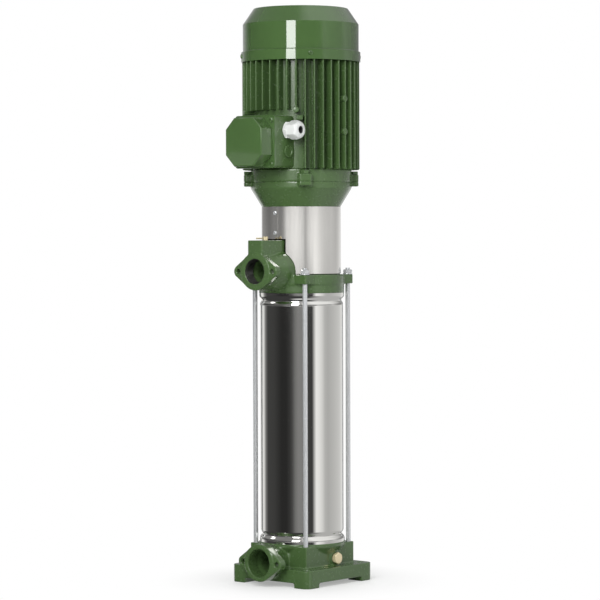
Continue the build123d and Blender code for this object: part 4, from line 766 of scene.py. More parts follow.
class Workshop:
    """Makes finished pieces and hangs them on the frame's bodies."""

    def __init__(self, frame: dict) -> None:
        """Keeps the loaded frame and looks up each node's slot and body."""
        self.frame = frame
        self.slots = {row["node"]: row["material_slot"] for row in frame["record"]["subparts"]}
        self.count = 0

    def piece(self, name: str, surface: Surface, slot: str, nodes: tuple[str, ...] = (),
              body: str = BODY, sharp: float = 35, flip: bool = True,
              finish: Finish | None = None) -> bpy.types.Object:
        """Makes an object from a surface.

        Args:
            name: the piece's name.
            surface: its shape, in millimetres.
            slot: its finish.
            nodes: the nodes that it stands for.
            body: the body that it rides on.
            sharp: edges that bend more than this many degrees stay sharp.
            flip: whether the faces' directions are worked out again.
            finish: a special finish, or None for the slot's own.

        Returns:
            The object.
        """
        mesh = mesh_of(name, surface, flip)
        return self._finish(name, mesh, slot, nodes, body, sharp, finish=finish)

    def copy(self, node: str, name: str | None = None, round_mm: float = 0.0,
             steps: int = 2, sharp: float = 30, spun: bool = False) -> bpy.types.Object:
        """A welded copy of a CAD node, with its edges rounded if asked.

        Args:
            node: the CAD node.
            name: the copy's name, or the node's with "_part".
            round_mm: how wide the rounding is, or 0.
            steps: faces across the rounding.
            sharp: edges that bend more than this many degrees are rounded or stay sharp.
            spun: whether a rounded copy is mostly a shape turned about Z.

        Returns:
            The object.
        """
        mesh = self.frame["nodes"][node].data.copy()
        weld_mesh(mesh, flip=False)
        if round_mm:
            with edited(mesh) as work:
                bmesh.ops.dissolve_limit(work, angle_limit=math.radians(FLAT_ANGLE),
                                         verts=work.verts, edges=work.edges)
        body = self.frame["nodes"][node]["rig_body"]
        piece = self._finish(name or f"{node}_part", mesh, self.slots[node], (node,), body, sharp,
                             turned=not round_mm)
        if round_mm:
            modify(piece, "rounding", "BEVEL", width=round_mm * MM, segments=steps,
                   limit_method="ANGLE", angle_limit=math.radians(sharp), harden_normals=True,
                   miter_outer="MITER_ARC")
        if spun:
            final = evaluated(piece)
            piece.modifiers.clear()
            piece.data = final
            true_normals(final)
        return piece

    def cast(self, node: str, voxel_mm: float, passes: int,
             bores: tuple[Surface, ...] = ()) -> bpy.types.Object:
        """A copy of a CAD node with the soft edges and corners of a casting.

        The solid is cut into small cubes, given a new skin, and each point is then moved to the
        mean of its neighbours a few times.

        Args:
            node: the CAD node.
            voxel_mm: the cubes' size.
            passes: how often the skin is smoothed.
            bores: closed surfaces that are cut out first.

        Returns:
            The object.
        """
        mesh = self.frame["nodes"][node].data.copy()
        weld_mesh(mesh, flip=False)
        rough = placed(f"{node}_rough", mesh)
        names = [f"{node}_bore_{number}" for number in range(len(bores))]
        cutters = [placed(name, mesh_of(name, bore)) for name, bore in zip(names, bores)]
        for cutter in cutters:
            modify(rough, "bore", "BOOLEAN", operation="DIFFERENCE", solver="EXACT",
                   object=cutter)
        modify(rough, "skin", "REMESH", mode="VOXEL", voxel_size=voxel_mm * MM)
        modify(rough, "soft", "SMOOTH", factor=0.5, iterations=passes)
        final = evaluated(rough)
        for spare in (rough, *cutters):
            bpy.data.objects.remove(spare)
        body = self.frame["nodes"][node]["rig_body"]
        return self._finish(f"{node}_casting", final, self.slots[node], (node,), body, 60)

    def _finish(self, name: str, mesh: bpy.types.Mesh, slot: str, nodes: tuple[str, ...],
                body: str, sharp: float, turned: bool = False,
                finish: Finish | None = None) -> bpy.types.Object:
        """Shades a mesh, gives it its material and hangs it up.

        Args:
            name: the piece's name.
            mesh: its mesh, in metres.
            slot: its finish.
            nodes: the nodes that it stands for.
            body: the body that it rides on.
            sharp: the angle from which edges stay sharp.
            turned: whether the shapes turned about Z get their true normals.
            finish: a special finish, or None for the slot's own.

        Returns:
            The object.
        """
        mesh.name = name
        mesh.materials.clear()
        mesh.materials.append((finish or FINISHES[slot]).material())
        mesh.polygons.foreach_set("material_index", np.zeros(len(mesh.polygons), np.int32))
        mesh.shade_smooth()
        mesh.set_sharp_from_angle(angle=math.radians(sharp))
        if turned:
            true_normals(mesh)
        piece = placed(name, mesh)
        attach(piece, body)
        if nodes:
            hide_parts(*nodes)
        self.count += 1
        LOG.info("piece %s on %s, %d faces", name, body, len(mesh.polygons))
        return piece


@dataclass
class Fasteners:
    """Nuts, screws and washers, all built upright on the axis with their seat at Z = 0."""

    chamfer: float = 0.92
    chamfer_slope: float = 0.58
    around: int = 60

    def hexagon(self, flats: float, height: float, bore: float = 0.0,
                both_ends: bool = False) -> Surface:
        """A hexagon with its corners cut by a cone.

        The radius at angle t is (flats / 2) / cos(t folded into +-30 degrees); the top sinks below
        its height by the slope times how far that radius passes the chamfer circle.

        Args:
            flats: size across the flats.
            height: its height.
            bore: radius of a hole through it, or 0.
            both_ends: whether the lower corners are cut as well.

        Returns:
            The surface.
        """
        turn = np.linspace(0, FULL_TURN, self.around, endpoint=False)
        corner = hexagon_radius(flats, turn)
        circle = self.chamfer * flats / 2
        drop = self.chamfer_slope * (corner - circle)
        low = drop if both_ends else 0.0
        rows = [polar(radius, turn, level) for radius, level in (
            (bore, 0.0), (circle, 0.0), (corner, low), (corner, height - drop),
            (circle, height), (bore, height))]
        return Surface.grid(np.array(rows), wrap_rows=bore > 0, wrap_columns=True)

    def washer(self, radius: float, bore: float, thickness: float) -> Surface:
        """A flat ring with rounded edges: a closed rounded rectangle turned round Z.

        Args:
            radius: outer radius.
            bore: inner radius.
            thickness: its thickness.

        Returns:
            The surface.
        """
        profile = rounded([(bore, 0), (radius, 0), (radius, thickness), (bore, thickness)],
                          0.35, 3, True)
        return Surface.lathe(profile, 48, True)

    def pan_head(self, radius: float, height: float) -> Surface:
        """A domed head with a cross recess.

        The height is a squashed half circle, h (1 - (r / R)^3)^(1/2), less the recess, which
        reaches 0.55 R out from the middle and is deep where the smaller of |x| and |y| is under
        about a quarter of that.

        Args:
            radius: the head's radius.
            height: its height.

        Returns:
            The surface.
        """
        reach = 0.55 * radius
        share = np.concatenate([np.linspace(0, 0.7, 15), np.linspace(0.74, 1, 9)])[:, None]
        turn = np.linspace(0, FULL_TURN, 64, endpoint=False)[None, :]
        x, y = radius * share * np.cos(turn), radius * share * np.sin(turn)
        dome = height * np.sqrt(np.clip(1 - share ** 3, 0, 1)) + 0 * turn
        narrow = np.minimum(np.abs(x), np.abs(y))
        wide = np.maximum(np.abs(x), np.abs(y))
        recess = np.clip((0.26 * reach - narrow) / (0.1 * reach), 0, 1) * np.clip(
            (reach - wide) / (0.15 * reach), 0, 1)
        top = Surface.grid(np.stack([x, y, dome - 0.45 * height * recess], axis=-1),
                           wrap_columns=True)
        return top + Surface.lathe([(radius, 0.0), (0.0, 0.0)], 64)

    def screw(self, radius: float, height: float, shank: float, length: float, sunk: float,
              steps: int = 20) -> Surface:
        """A pan head on a plain shank, with its head towards -Y.

        Args:
            radius: the head's radius.
            height: the head's height.
            shank: the shank's radius.
            length: how far the shank reaches behind the seat.
            sunk: how far it reaches into the head.
            steps: steps round the shank.

        Returns:
            The surface.
        """
        stem = Surface.lathe([(0, -length), (shank, -length), (shank, sunk), (0, sunk)], steps)
        return (self.pan_head(radius, height) + stem).facing("-Y")

    def thread(self, radius: float, pitch: float, low: float, high: float,
               outside: bool = True, depth_share: float = 0.54) -> Surface:
        """A screw thread: the radius sinks by its depth and back as z / pitch - t / 2 pi grows.

        Args:
            radius: the crest's radius on a bolt, the root's in a bore.
            pitch: the thread's pitch.
            low: where it starts.
            high: where it ends.
            outside: a bolt, with closed ends; otherwise the lining of a bore.
            depth_share: the thread's depth as a share of the pitch.

        Returns:
            The surface.
        """
        turn = np.linspace(0, FULL_TURN, 36 if outside else 96, endpoint=False)[None, :]
        rows = int((high - low) / pitch * 6) + 1
        level = np.linspace(low, high, rows)[:, None]
        swing = 0.5 + 0.5 * np.cos(FULL_TURN * (level / pitch) - turn)
        swing = np.clip(1.4 * swing - 0.2, 0, 1)
        fade = np.clip(np.minimum(level - low, high - level) / pitch, 0, 1)
        ring = radius - depth_share * pitch * swing * fade
        if outside:
            ring = ring - np.clip(1 - (high - level) / pitch, 0, 1) * 0.5 * pitch
        first, last = (polar(0.0 if outside else radius + 0.6, turn, z) for z in (low, high))
        return Surface.grid(np.concatenate([first, polar(ring, turn, level), last]),
                            not outside, True)


@dataclass
class Casing:
    """The rolled casing tube between base and head."""

    ring: float = 72.7
    neck: float = 67.6
    barrel: float = 71.0
    wall: float = 1.5
    low: float = 69.0
    high: float = 491.0
    steps: tuple[float, float, float] = (6.5, 13.0, 18.0)
    bend: float = 3.0

    def build(self, shop: Workshop) -> None:
        """Turns the rolled outline, with rounded bends, round the axis."""
        first, second, third = self.steps
        outer = [(self.ring, self.low), (self.ring, self.low + first),
                 (self.neck, self.low + second), (self.barrel, self.low + third),
                 (self.barrel, self.high - third), (self.neck, self.high - second),
                 (self.ring, self.high - first), (self.ring, self.high)]
        line = eased(rounded(outer, self.bend, 8), 0.3)
        inner = line[::-1] - np.array([self.wall, 0])
        shop.piece("casing_tube", Surface.lathe(np.vstack([line, inner]), 192, True),
                   "polished_steel", ("outer_casing",), sharp=50)


@dataclass
class TieRods:
    """Four rods with washers, nuts and the threads that stand out of the nuts."""

    circle: float = 79.0
    radius: float = 4.0
    low: float = 46.5
    seat: float = 522.0
    top: float = 533.1
    thread_low: float = 516.0
    pitch: float = 1.25
    washer_radius: float = 8.0
    washer_height: float = 1.6
    nut_flats: float = 13.0
    nut_height: float = 6.5

    def build(self, shop: Workshop, kit: Fasteners) -> None:
        """Builds one set and repeats it at the four corners."""
        start, ease, sink = self.thread_low, 0.5, 0.6
        shank = Surface.lathe([(0, self.low), (self.radius - ease, self.low),
                               (self.radius, self.low + ease), (self.radius, start),
                               (self.radius - sink, start + sink), (0, start + sink)], 32)
        rod = shank + kit.thread(self.radius, self.pitch, start, self.top)
        washer = kit.washer(self.washer_radius, self.radius + 0.3, self.washer_height)
        nut = kit.hexagon(self.nut_flats, self.nut_height, self.radius + 0.05, True)
        washer = washer.moved(z=self.seat)
        nut = nut.moved(z=self.seat + self.washer_height)
        for name, part, node in (("rods", rod, "tie_rods"),
                                 ("rod_washers", washer, "tie_rod_washers"),
                                 ("rod_nuts", nut, "tie_rod_nuts")):
            whole = joined(part.moved(y=-self.circle).spun(angle) for angle in CORNERS)
            shop.piece(name, whole, "zinc_steel", (node,), sharp=28)


@dataclass(frozen=True)
class Port:
    """A casting with a threaded port that opens towards -Y."""

    node: str
    voxel: float
    face: float
    height: float
    radius: float
    length: float
    title: str
    depth_share: float
    finish: Finish
    pitch: float = 2.309
    cut: float = 1.6
    run_out: float = 9.0

    def build(self, shop: Workshop, kit: Fasteners) -> None:
        """Gives the casting a soft skin with the bore cut out, and lines the bore with a thread.

        Args:
            shop: makes the pieces.
            kit: makes the thread.
        """
        wide, foot = self.radius + self.cut, -self.length - self.run_out
        bore = Surface.lathe([(0, foot), (self.radius - 1, foot), (wide, -self.length),
                              (wide, 2.0), (0, 2.0)], 64)
        thread = kit.thread(wide - 0.5, self.pitch, -self.length - 0.4, -0.7, False,
                            self.depth_share)
        bore, thread = (part.facing("-Y").moved(y=-self.face, z=self.height)
                        for part in (bore, thread))
        shop.cast(self.node, self.voxel, 2, (bore,))
        shop.piece(self.title, thread, "green_paint", sharp=60, finish=self.finish)


@dataclass
class Castings:
    """Base, discharge head, motor bracket and lower end shield, with their threaded ports."""

    # The discharge thread gets the near-black painted shade of a deep bore; the suction thread
    # keeps the casting's green.
    ports: tuple[Port, ...] = (
        Port("base", 1.4, 112.0, 40.0, 22.4, 22.0, "suction_thread", 0.1, CASTING),
        Port("discharge_head", 1.3, 120.0, 528.0, 19.5, 20.0, "discharge_thread", 0.8,
             BORE_SHADE_PAINT))
    voxel: float = 1.2

    def build(self, shop: Workshop, kit: Fasteners) -> None:
        """Casts the two pieces with ports, then the two without."""
        for port in self.ports:
            port.build(shop, kit)
        shop.cast("motor_bracket", self.voxel, 2)
        shop.cast("lower_end_shield", self.voxel, 1)


@dataclass
class MotorFrame:
    """Barrel and fins of the motor."""

    low: float = 699.0
    high: float = 882.0
    bore: float = 76.0
    root: float = 82.0
    tip: float = 99.5
    fin_count: int = 40
    root_half: float = 2.0
    tip_half: float = 1.3
    short_low: float = 797.0
    short_angle: float = 40.0
    nose: float = 2.2
    lug_angle: float = 39.5
    lug_reach: float = 96.0
    lug_width: float = 11.0
    lug_top: float = 788.0
    lug_height: float = 8.0
    lug_start: float = 81.0
    boss_start: float = 81.5
    stud: tuple[float, float] = (5.0, 17.6)
    pad_heights: tuple[float, float] = (762.0, 817.0)
    pad: tuple[float, float, float] = (6.6, 5.6, 17.4)

    def fin(self, low: float, high: float) -> Surface:
        """One fin towards -Y, as a skin over its outline.

        Across, u runs from one root over the tip to the other root: the half thickness shrinks
        evenly from root to tip, flares out at the root as a fillet, and the tip is a half circle.
        Up, the tip draws back and the thickness closes at both ends as a quarter circle.

        Args:
            low: its lower end.
            high: its upper end.

        Returns:
            The surface.
        """
        side = np.array([0.0, 0.035, 0.1, 0.2, 0.55, 0.93])
        radius = self.root - 0.8 + (self.tip - self.tip_half - self.root + 0.8) * side
        half = self.root_half + (self.tip_half - self.root_half) * side
        half = half + 1.6 * np.clip(1 - side / 0.2, 0, 1) ** 2
        arc = np.linspace(0, math.pi, 9)
        across = np.concatenate([-half, -self.tip_half * np.cos(arc), half[::-1]])
        out = np.concatenate([radius, self.tip - self.tip_half + self.tip_half * np.sin(arc),
                              radius[::-1]])
        bend = np.linspace(0, math.pi / 2, 5)
        nose = self.nose * (1 - np.cos(bend))
        level = np.concatenate([low + nose, [low + 2 * self.nose], [high - 2 * self.nose],
                                high - nose[::-1]])
        draw = np.concatenate([1 - np.sin(bend), [0, 0], 1 - np.sin(bend[::-1])])[:, None]
        out = out[None, :] - draw * self.nose * (out[None, :] > radius[-1] - 0.1)
        across = across[None, :] * (1 - 0.999 * draw)
        grid = np.stack([across + 0 * out, -out + 0 * across, level[:, None] + 0 * out], axis=-1)
        return Surface.grid(grid)

    def build(self, shop: Workshop) -> None:
        """Builds the barrel, the fins and the cast bosses on them."""
        profile = eased(rounded([(self.bore, self.low), (self.root, self.low),
                                 (self.root, self.high), (self.bore, self.high)], 1.2, 4, True))
        whole = Surface.lathe(profile, 160, True)
        step = 360 / self.fin_count
        for number in range(self.fin_count):
            angle = step * number
            short = min(angle, 360 - angle) < self.short_angle
            whole += self.fin(self.short_low if short else self.low, self.high).spun(angle)
        edge = step * math.floor(self.short_angle / step)
        radius, length = self.stud
        stud = Surface.lathe(
            rounded([(0, 0), (radius, 0), (radius, length), (0, length)], 1.0, 4), 24)
        for angle in (-edge, edge):
            whole += stud.facing("-Y").moved(y=-self.boss_start, z=self.short_low).spun(angle)
        foot, face, length = self.pad
        pad = Surface.lathe(rounded([(0, 0), (foot, 0), (face, length), (0, length)], 1.4, 5), 24)
        for angle in (-90, 90):
            for height in self.pad_heights:
                whole += pad.facing("-Y").moved(y=-self.boss_start, z=height).spun(angle)
        lug = Surface.tablet(self.lug_width, self.lug_height, self.lug_reach - self.lug_start,
                             1.5, 1.0)
        lug = lug.facing("-Y").moved(y=-self.lug_start, z=self.lug_top - self.lug_height / 2)
        whole += lug.spun(self.lug_angle)
        shop.piece("finned_frame", whole, "green_paint", ("motor_frame",), sharp=50)


@dataclass
class FanCover:
    """Pressed fan cover with its screws."""

    band: float = 101.2
    screw_height: float = 891.0
    first_angle: float = 50.0
    head_radius: float = 4.0
    head_height: float = 2.2

    def build(self, shop: Workshop, kit: Fasteners) -> None:
        """Rounds the pressing's bends and sets cross-recessed screws on its band."""
        shop.copy("fan_cover", "fan_cover_sheet", 0.7, 3, 24, True)
        shop.copy("upper_end_shield", round_mm=0.8)
        screw = kit.screw(self.head_radius, self.head_height, 2.0, 10.0, 0.2, 24)
        screw = screw.moved(y=-self.band, z=self.screw_height)
        screws = joined(screw.spun(self.first_angle + 90 * turn) for turn in range(4))
        shop.piece("cover_screws", screws, "cover_paint", ("fan_cover_screws",), sharp=40)


@dataclass
class Guard:
    """Rolled coupling guard and its screws."""

    radius: float = 67.3
    heights: tuple[float, float] = (592.0, 626.0)
    head_radius: float = 3.8
    head_height: float = 2.0

    def build(self, shop: Workshop, kit: Fasteners) -> None:
        """Copies the rolled sheet and sets its two screws."""
        shop.copy("coupling_guard", "guard_sheet")
        screw = kit.screw(self.head_radius, self.head_height, 1.8, 5.0, 0.1).moved(y=-self.radius)
        screws = joined(screw.moved(z=height) for height in self.heights)
        shop.piece("guard_fixings", screws, "zinc_steel", ("guard_screws",), sharp=40)


@dataclass
class TerminalBox:
    """Terminal box, cover, cable gland, blanking plug and the screws of the cover."""

    side: float = 44.0
    gland_place: float = 85.0
    gland_height: float = 763.0
    gland_flats: float = 26.5
    hex_length: float = 8.0
    nut_flats: float = 27.5
    nut_length: float = 21.5
    straight: float = 11.0
    hole: float = 6.5
    lip: float = 8.4
    seat: float = 118.0
    screw_x: float = 37.0
    screw_z: float = 36.5
    middle: float = 743.0
    head_radius: float = 4.5
    head_height: float = 3.0
    lining: float = 9.05
    lining_depth: float = 6.0
    neck: float = 9.0
    neck_ends: tuple[float, float] = (-5.0, 16.0)

    def gland(self, shop: Workshop, kit: Fasteners) -> None:
        """The gland's hexagon, its domed nut and the rubber ring round the hole.

        The nut's radius at angle t and height h is the smaller of the hexagon's, flats / 2 over
        cos(t folded into +-30 degrees), and the dome's, lip + rise (1 - s^2)^(1/2), where s runs
        from 0 at the end of the straight part to 1 at the lip.
        """
        bore = self.hole + 0.5
        body = kit.hexagon(self.gland_flats, self.hex_length, bore, True).spun(30)
        low, high = self.neck_ends
        body += Surface.lathe([(bore, low), (self.neck, low), (self.neck, high), (bore, high)],
                              48, True)
        length, inner_end = self.nut_length, self.nut_length - self.lining_depth
        turn = np.linspace(0, FULL_TURN, 96, endpoint=False)
        share = np.sin(np.linspace(0, math.pi / 2, 14))[:, None]
        rise = self.nut_flats / 2 / math.cos(math.pi / 6) + 0.2 - self.lip
        dome = self.lip + rise * np.sqrt(1 - share ** 2)
        levels = np.vstack([[[0.0], [0.0], [0.8], [self.straight - 1]],
                            self.straight + (length - self.straight) * share,
                            [[length], [inner_end]]])
        limits = np.vstack([[[self.lining], [self.lip + rise - 1.0], [self.lip + rise],
                             [self.lip + rise]], dome, [[self.hole], [self.hole]]])
        skin = polar(np.minimum(hexagon_radius(self.nut_flats, turn), limits), turn, levels)
        lining = polar(self.lining, turn, inner_end)[None]
        nut = Surface.grid(np.concatenate([skin, lining]), True, True)
        seal = Surface.lathe(rounded([(self.hole, length - 5.8), (self.hole, length - 1.5),
                                      (4.4, length - 1.2), (4.0, length - 6.5),
                                      (4.4, length - 10)], 0.8, 4, True), 48, True)
        start = self.side + self.hex_length
        for name, part, x, slot, nodes, sharp in (
                ("gland_hexagon", body, self.side, "gland_plastic", ("cable_gland_body",), 25),
                ("gland_dome", nut, start, "gland_plastic", ("cable_gland_nut",), 32),
                ("gland_seal", seal, start, "seal_rubber", (), 50)):
            part = part.facing("+X").moved(x, -self.gland_place, self.gland_height)
            shop.piece(name, part, slot, nodes, sharp=sharp)

    def build(self, shop: Workshop, kit: Fasteners) -> None:
        """Copies box and cover with rounded edges and sets gland, plug and screws."""
        shop.copy("terminal_box", round_mm=0.8)
        shop.copy("terminal_cover", round_mm=1.0, steps=3, sharp=28)
        self.gland(shop, kit)
        shop.copy("blanking_plug", round_mm=0.9, steps=3)
        shop.copy("terminal_block", round_mm=0.3)
        screw = kit.screw(self.head_radius, self.head_height, 2.5, 15.0, 0.2).moved(y=-self.seat)
        screws = joined(screw.moved(x=x * self.screw_x, z=self.middle + z * self.screw_z)
                        for x in (-1, 1) for z in (-1, 1))
        shop.piece("cover_fixings", screws, "cover_paint", ("terminal_cover_screws",), sharp=40)


@dataclass
class BrassParts:
    """Drain plug in the base and vent screw on the head."""

    drain_seat: float = 65.5
    drain_offset: float = 11.0
    drain_height: float = 42.0
    drain_flats: float = 18.0
    drain_length: float = 7.0
    collar: float = 9.0
    collar_height: float = 1.6
    thread: float = 8.0
    shank: float = 16.0

    def build(self, shop: Workshop, kit: Fasteners) -> None:
        """Builds the chamfered plug with its collar, and the vent screw with its cross bar."""
        head = kit.hexagon(self.drain_flats, self.drain_length - self.collar_height,
                           both_ends=True).moved(z=self.collar_height)
        top = self.collar_height + 0.1
        collar = Surface.lathe(
            rounded([(0, 0), (self.collar, 0), (self.collar, top), (0, top)], 0.4, 3), 48)
        shank = Surface.lathe([(0, -self.shank), (self.thread - 1, -self.shank),
                               (self.thread, 1 - self.shank), (self.thread, 0.2), (0, 0.2)], 48)
        plug = (head + collar + shank).facing("+X").moved(
            self.drain_seat, self.drain_offset, self.drain_height)
        shop.piece("drain_stopper", plug, "brass", ("drain_plug",), sharp=28)
        shop.copy("vent_screw", "vent_bleeder", 0.35, 3)


class InnerPieces:
    """Everything that the casing, guard and motor hide."""

    nodes = (["inlet_bowl", "outlet_bowl", "hub_bushes", "casing_o_rings", "pump_shaft",
              "shaft_nut", "seal_seat", "seal_face", "seal_bellows", "coupling_halves",
              "coupling_bolts", "bracket_bolts", "motor_shaft", "rotor_core", "stator_core",
              "stator_windings", "bearing_inner_rings", "bearing_outer_rings", "bearing_seals"]
             + [f"stage_bowl_{stage}" for stage in range(1, 9)]
             + [f"impeller_{stage}" for stage in range(1, 9)])

    def build(self, shop: Workshop) -> None:
        """Welds and dresses a copy of each hidden solid, and of the fan."""
        for node in self.nodes:
            shop.copy(node)
        shop.copy("cooling_fan", round_mm=0.5)
        shop.copy("flange_screws", round_mm=0.4)


# name, bearing, rise, reach, width, height, radiance and whether it shows; see Studio.lamp
LAMPS = (("softbox", -18.8, 2.06, 3.0, 1.08, 2.15, 9.0, True),
         ("left_key", -40, 1.7, 3.0, 1.3, 1.5, 3.2, False),
         ("front_key", -10, 2.3, 3.2, 1.0, 1.4, 5.0, False),
         ("right_key", 38, 1.7, 3.0, 1.2, 1.6, 3.0, False),
         ("right_fill", 80, 1.2, 2.8, 1.2, 1.8, 2.1, False),
         ("back_fill", 178, 1.6, 3.0, 1.6, 1.8, 5.0, False))


@dataclass
class Studio:
    """Camera, lamps, floor and surroundings."""

    azimuth: float = 40.81
    distance: float = 4.369
    eye: float = 0.585
    pitch: float = 1.40
    roll: float = -0.173
    side_step: float = -0.00253
    lens: float = 154.1
    sensor: float = 36.0
    aim: float = 0.6

    def directions(self) -> tuple[Vector, Vector]:
        """Level directions from the pump to the camera, and to the camera's right."""
        turn = math.radians(self.azimuth)
        return (Vector((math.sin(turn), -math.cos(turn), 0)),
                Vector((math.cos(turn), math.sin(turn), 0)))

    def camera(self) -> None:
        """Sets the camera where the photograph was taken from."""
        towards, right = self.directions()
        pitch, roll = math.radians(self.pitch), math.radians(self.roll)
        ahead = -towards * math.cos(pitch) - Vector((0, 0, math.sin(pitch)))
        above = right.cross(ahead)
        x_axis = right * math.cos(roll) + above * math.sin(roll)
        y_axis = above * math.cos(roll) - right * math.sin(roll)
        data = bpy.data.cameras.new("camera")
        data.lens = self.lens
        data.sensor_width = self.sensor
        data.clip_end = 50
        camera = placed("camera", data)
        place = towards * self.distance + right * self.side_step + Vector((0, 0, self.eye))
        rows = Matrix((x_axis, y_axis, -ahead)).transposed().to_4x4()
        rows.translation = place
        camera.matrix_world = rows
        bpy.context.scene.camera = camera

    def lamp(self, name: str, bearing: float, rise: float, reach: float, width: float,
             height: float, radiance: float, shiny: bool) -> None:
        """Sets a rectangular soft lamp that looks at the pump's middle.

        Args:
            name: the lamp's name.
            bearing: degrees from the camera's direction, to its right.
            rise: height of the lamp's middle above the floor, in metres.
            reach: distance from the pump's axis, in metres.
            width: its width in metres.
            height: its height in metres.
            radiance: how bright its face is; 1 is white.
            shiny: whether it shows in reflections.
        """
        towards, right = self.directions()
        turn = math.radians(bearing)
        place = (towards * math.cos(turn) + right * math.sin(turn)) * reach + Vector((0, 0, rise))
        data = bpy.data.lights.new(name, "AREA")
        data.shape = "RECTANGLE"
        data.size, data.size_y = width, height
        data.energy = radiance * math.pi * width * height
        lamp = placed(name, data)
        lamp.location = place
        aim = Vector((0, 0, self.aim)) - place
        lamp.rotation_euler = aim.to_track_quat("-Z", "Y").to_euler()
        lamp.visible_camera = False
        lamp.visible_glossy = shiny

    def world(self) -> None:
        """Even light for dull surfaces, and the studio's screens and flags in reflections.

        Each list holds (bearing, brightness) pairs, the bearing in degrees from the camera's
        direction to its right.  low is for directions that fall by a degree or more, high for
        level ones, cover for those that rise by a degree or more, and sky for steep ones.
        """
        world = bpy.data.worlds.new("studio")
        bpy.context.scene.world = world
        world.use_nodes = True
        world.cycles.sampling_method = "NONE"
        graph = Graph(world.node_tree)
        towards = graph.node("ShaderNodeTexCoord", out="Generated")
        sockets = graph.node("ShaderNodeSeparateXYZ", None, {0: towards}).socket.node.outputs
        across, deep, up = (Wire(graph, sockets[axis]) for axis in ("X", "Y", "Z"))
        bearing = across.maths("ARCTAN2", across, 0.0 - deep) * (180 / math.pi) - self.azimuth
        bearing = graph.node("ShaderNodeMath", {"operation": "WRAP"},
                             {0: bearing, 1: 180.0, 2: -180.0})
        share = (bearing + 180.0) / 360.0
        low = [(-180, 0.95), (-150, 1.0), (-130, 0.85), (-119, 0.22), (-108, 0.06), (-82, 0.052),
               (-58, 0.026), (-43, 0.026), (-33, 0.045), (-26, 0.08), (-18, 0.19), (-10, 0.245),
               (7, 0.25), (12, 0.06), (29, 0.05), (36, 0.6), (40, 0.98), (49, 0.9), (58, 0.76),
               (67, 0.54), (77, 0.49), (100, 0.57), (128, 0.68), (150, 0.9)]
        high = [(-180, 0.95), (-160, 0.5), (-146, 0.26), (-104, 0.26), (-86, 0.4), (-70, 0.4),
                (-60, 0.42), (-52, 0.68), (-44, 1.45), (-28, 1.72), (-12, 1.72), (3, 1.45),
                (12, 0.9), (18, 1.35), (28, 1.74), (40, 1.5), (56, 1.05), (90, 0.78),
                (120, 0.62), (150, 0.85)]
        cover = [(-180, 0.4), (-160, 0.5), (-142, 0.4), (-130, 0.16), (-122, 0.06), (-20, 0.05),
                 (30, 0.08), (40, 0.16), (46, 0.5), (56, 0.42), (66, 0.38), (86, 0.38),
                 (98, 0.58), (110, 0.42), (126, 0.3), (150, 0.24)]
        sky = [(-180, 0.3), (-60, 0.22), (-12, 0.3), (12, 0.7), (40, 1.0), (100, 0.9), (160, 0.35)]
        ramps = [graph.node("ShaderNodeValToRGB", {"stops": [
            ((place + 180) / 360, value) for place, value in stops]}, {"Fac": share})
            for stops in (low, high, cover, sky)]
        shine = graph.blend(up.above(-0.0185, 0.004), ramps[0], ramps[1])
        shine = graph.blend(up.above(0.0175, 0.004), shine, ramps[2])
        shine = graph.blend(up.above(0.2, 0.25), shine, ramps[3])
        below = graph.blend(bearing.above(15.0, 50.0), grey(0.05), grey(0.5))
        shine = graph.blend((0.0 - up).above(0.22, 0.1), shine, below)
        shine = graph.blend((0.0 - up).above(0.93, 0.05), shine, grey(0.8))
        patch = (1.0 - bearing.off(-108.0).above(4.0, 5.0)) * (1.0 - up.off(0.62).above(0.04, 0.05))
        shine = graph.blend(patch, shine, grey(4.0))
        light = graph.node("ShaderNodeLightPath", out="Is Camera Ray").socket.node.outputs
        seen = Wire(graph, light["Is Camera Ray"])
        mirror = (Wire(graph, light["Is Glossy Ray"]) + Wire(graph, light["Is Transmission Ray"])
                  ).above(0.4, 0.2)
        tint = graph.blend(seen, graph.blend(mirror, grey(0.14), shine), grey(1.0))
        background = graph.node("ShaderNodeBackground", None, {"Color": tint, "Strength": 1.0})
        graph.node("ShaderNodeOutputWorld", None, {"Surface": background})

    def floor(self) -> None:
        """A pale round floor that keeps the pump's shadow and fades into the background."""
        disc = Surface.lathe([(0.0, 0.0), (300.0, 0.0), (1200.0, 0.0), (12000.0, 0.0)])
        mesh = mesh_of("floor", disc.moved(z=-FLOOR_DROP), flip=False)
        material = bpy.data.materials.new("floor")
        material.use_nodes = True
        graph = Graph(material.node_tree)
        away = graph.node("ShaderNodeVectorMath", {"operation": "LENGTH"},
                          {0: graph.node("ShaderNodeTexCoord", out="Object")}, "Value")
        tone = graph.noise((1.2, 1.2, 1.2), 2.0) * 0.02 + 0.95
        matt = graph.node("ShaderNodeBsdfDiffuse", None,
                          {"Color": graph.blend(tone, grey(0.0), grey(1.0))})
        white = graph.node("ShaderNodeEmission", None, {"Color": grey(1.0), "Strength": 1.0})
        seen = graph.node("ShaderNodeLightPath", out="Is Camera Ray")
        fade = (away.above(0.06, 0.2) * 0.65 + 0.35) * seen
        mixed = graph.node("ShaderNodeMixShader", None, {0: fade, 1: matt, 2: white})
        graph.node("ShaderNodeOutputMaterial", None, {"Surface": mixed})
        mesh.materials.append(material)
        floor = placed("floor", mesh)
        floor.visible_glossy = False

    def build(self) -> None:
        """Sets camera, lamps, surroundings and floor."""
        self.camera()
        for lamp in LAMPS:
            self.lamp(*lamp)
        self.world()
        self.floor()
        bpy.context.scene.view_settings.view_transform = "Standard"


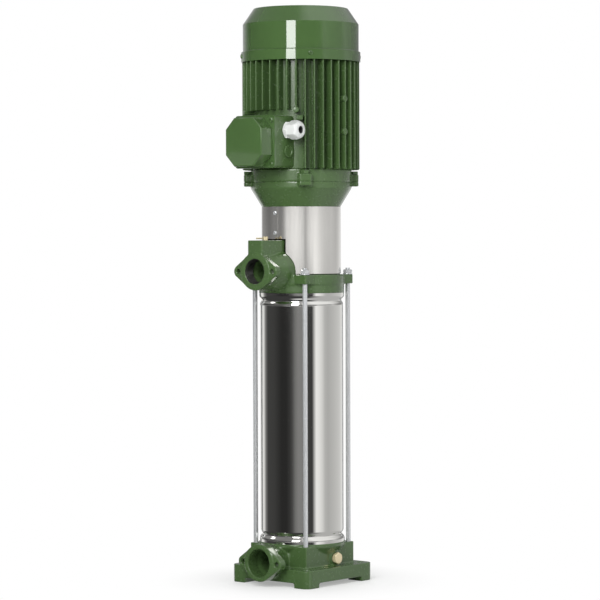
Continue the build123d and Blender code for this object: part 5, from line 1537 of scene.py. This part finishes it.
def main() -> None:
    """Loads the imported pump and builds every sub-assembly in order."""
    logging.basicConfig(level=logging.INFO, format="%(name)s: %(message)s")
    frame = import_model()
    shop, kit = Workshop(frame), Fasteners()
    Studio().build()
    Castings().build(shop, kit)
    Casing().build(shop)
    TieRods().build(shop, kit)
    Guard().build(shop, kit)
    MotorFrame().build(shop)
    FanCover().build(shop, kit)
    TerminalBox().build(shop, kit)
    BrassParts().build(shop, kit)
    InnerPieces().build(shop)
    LOG.info("%d pieces", shop.count)


if __name__ == "__main__":
    main()
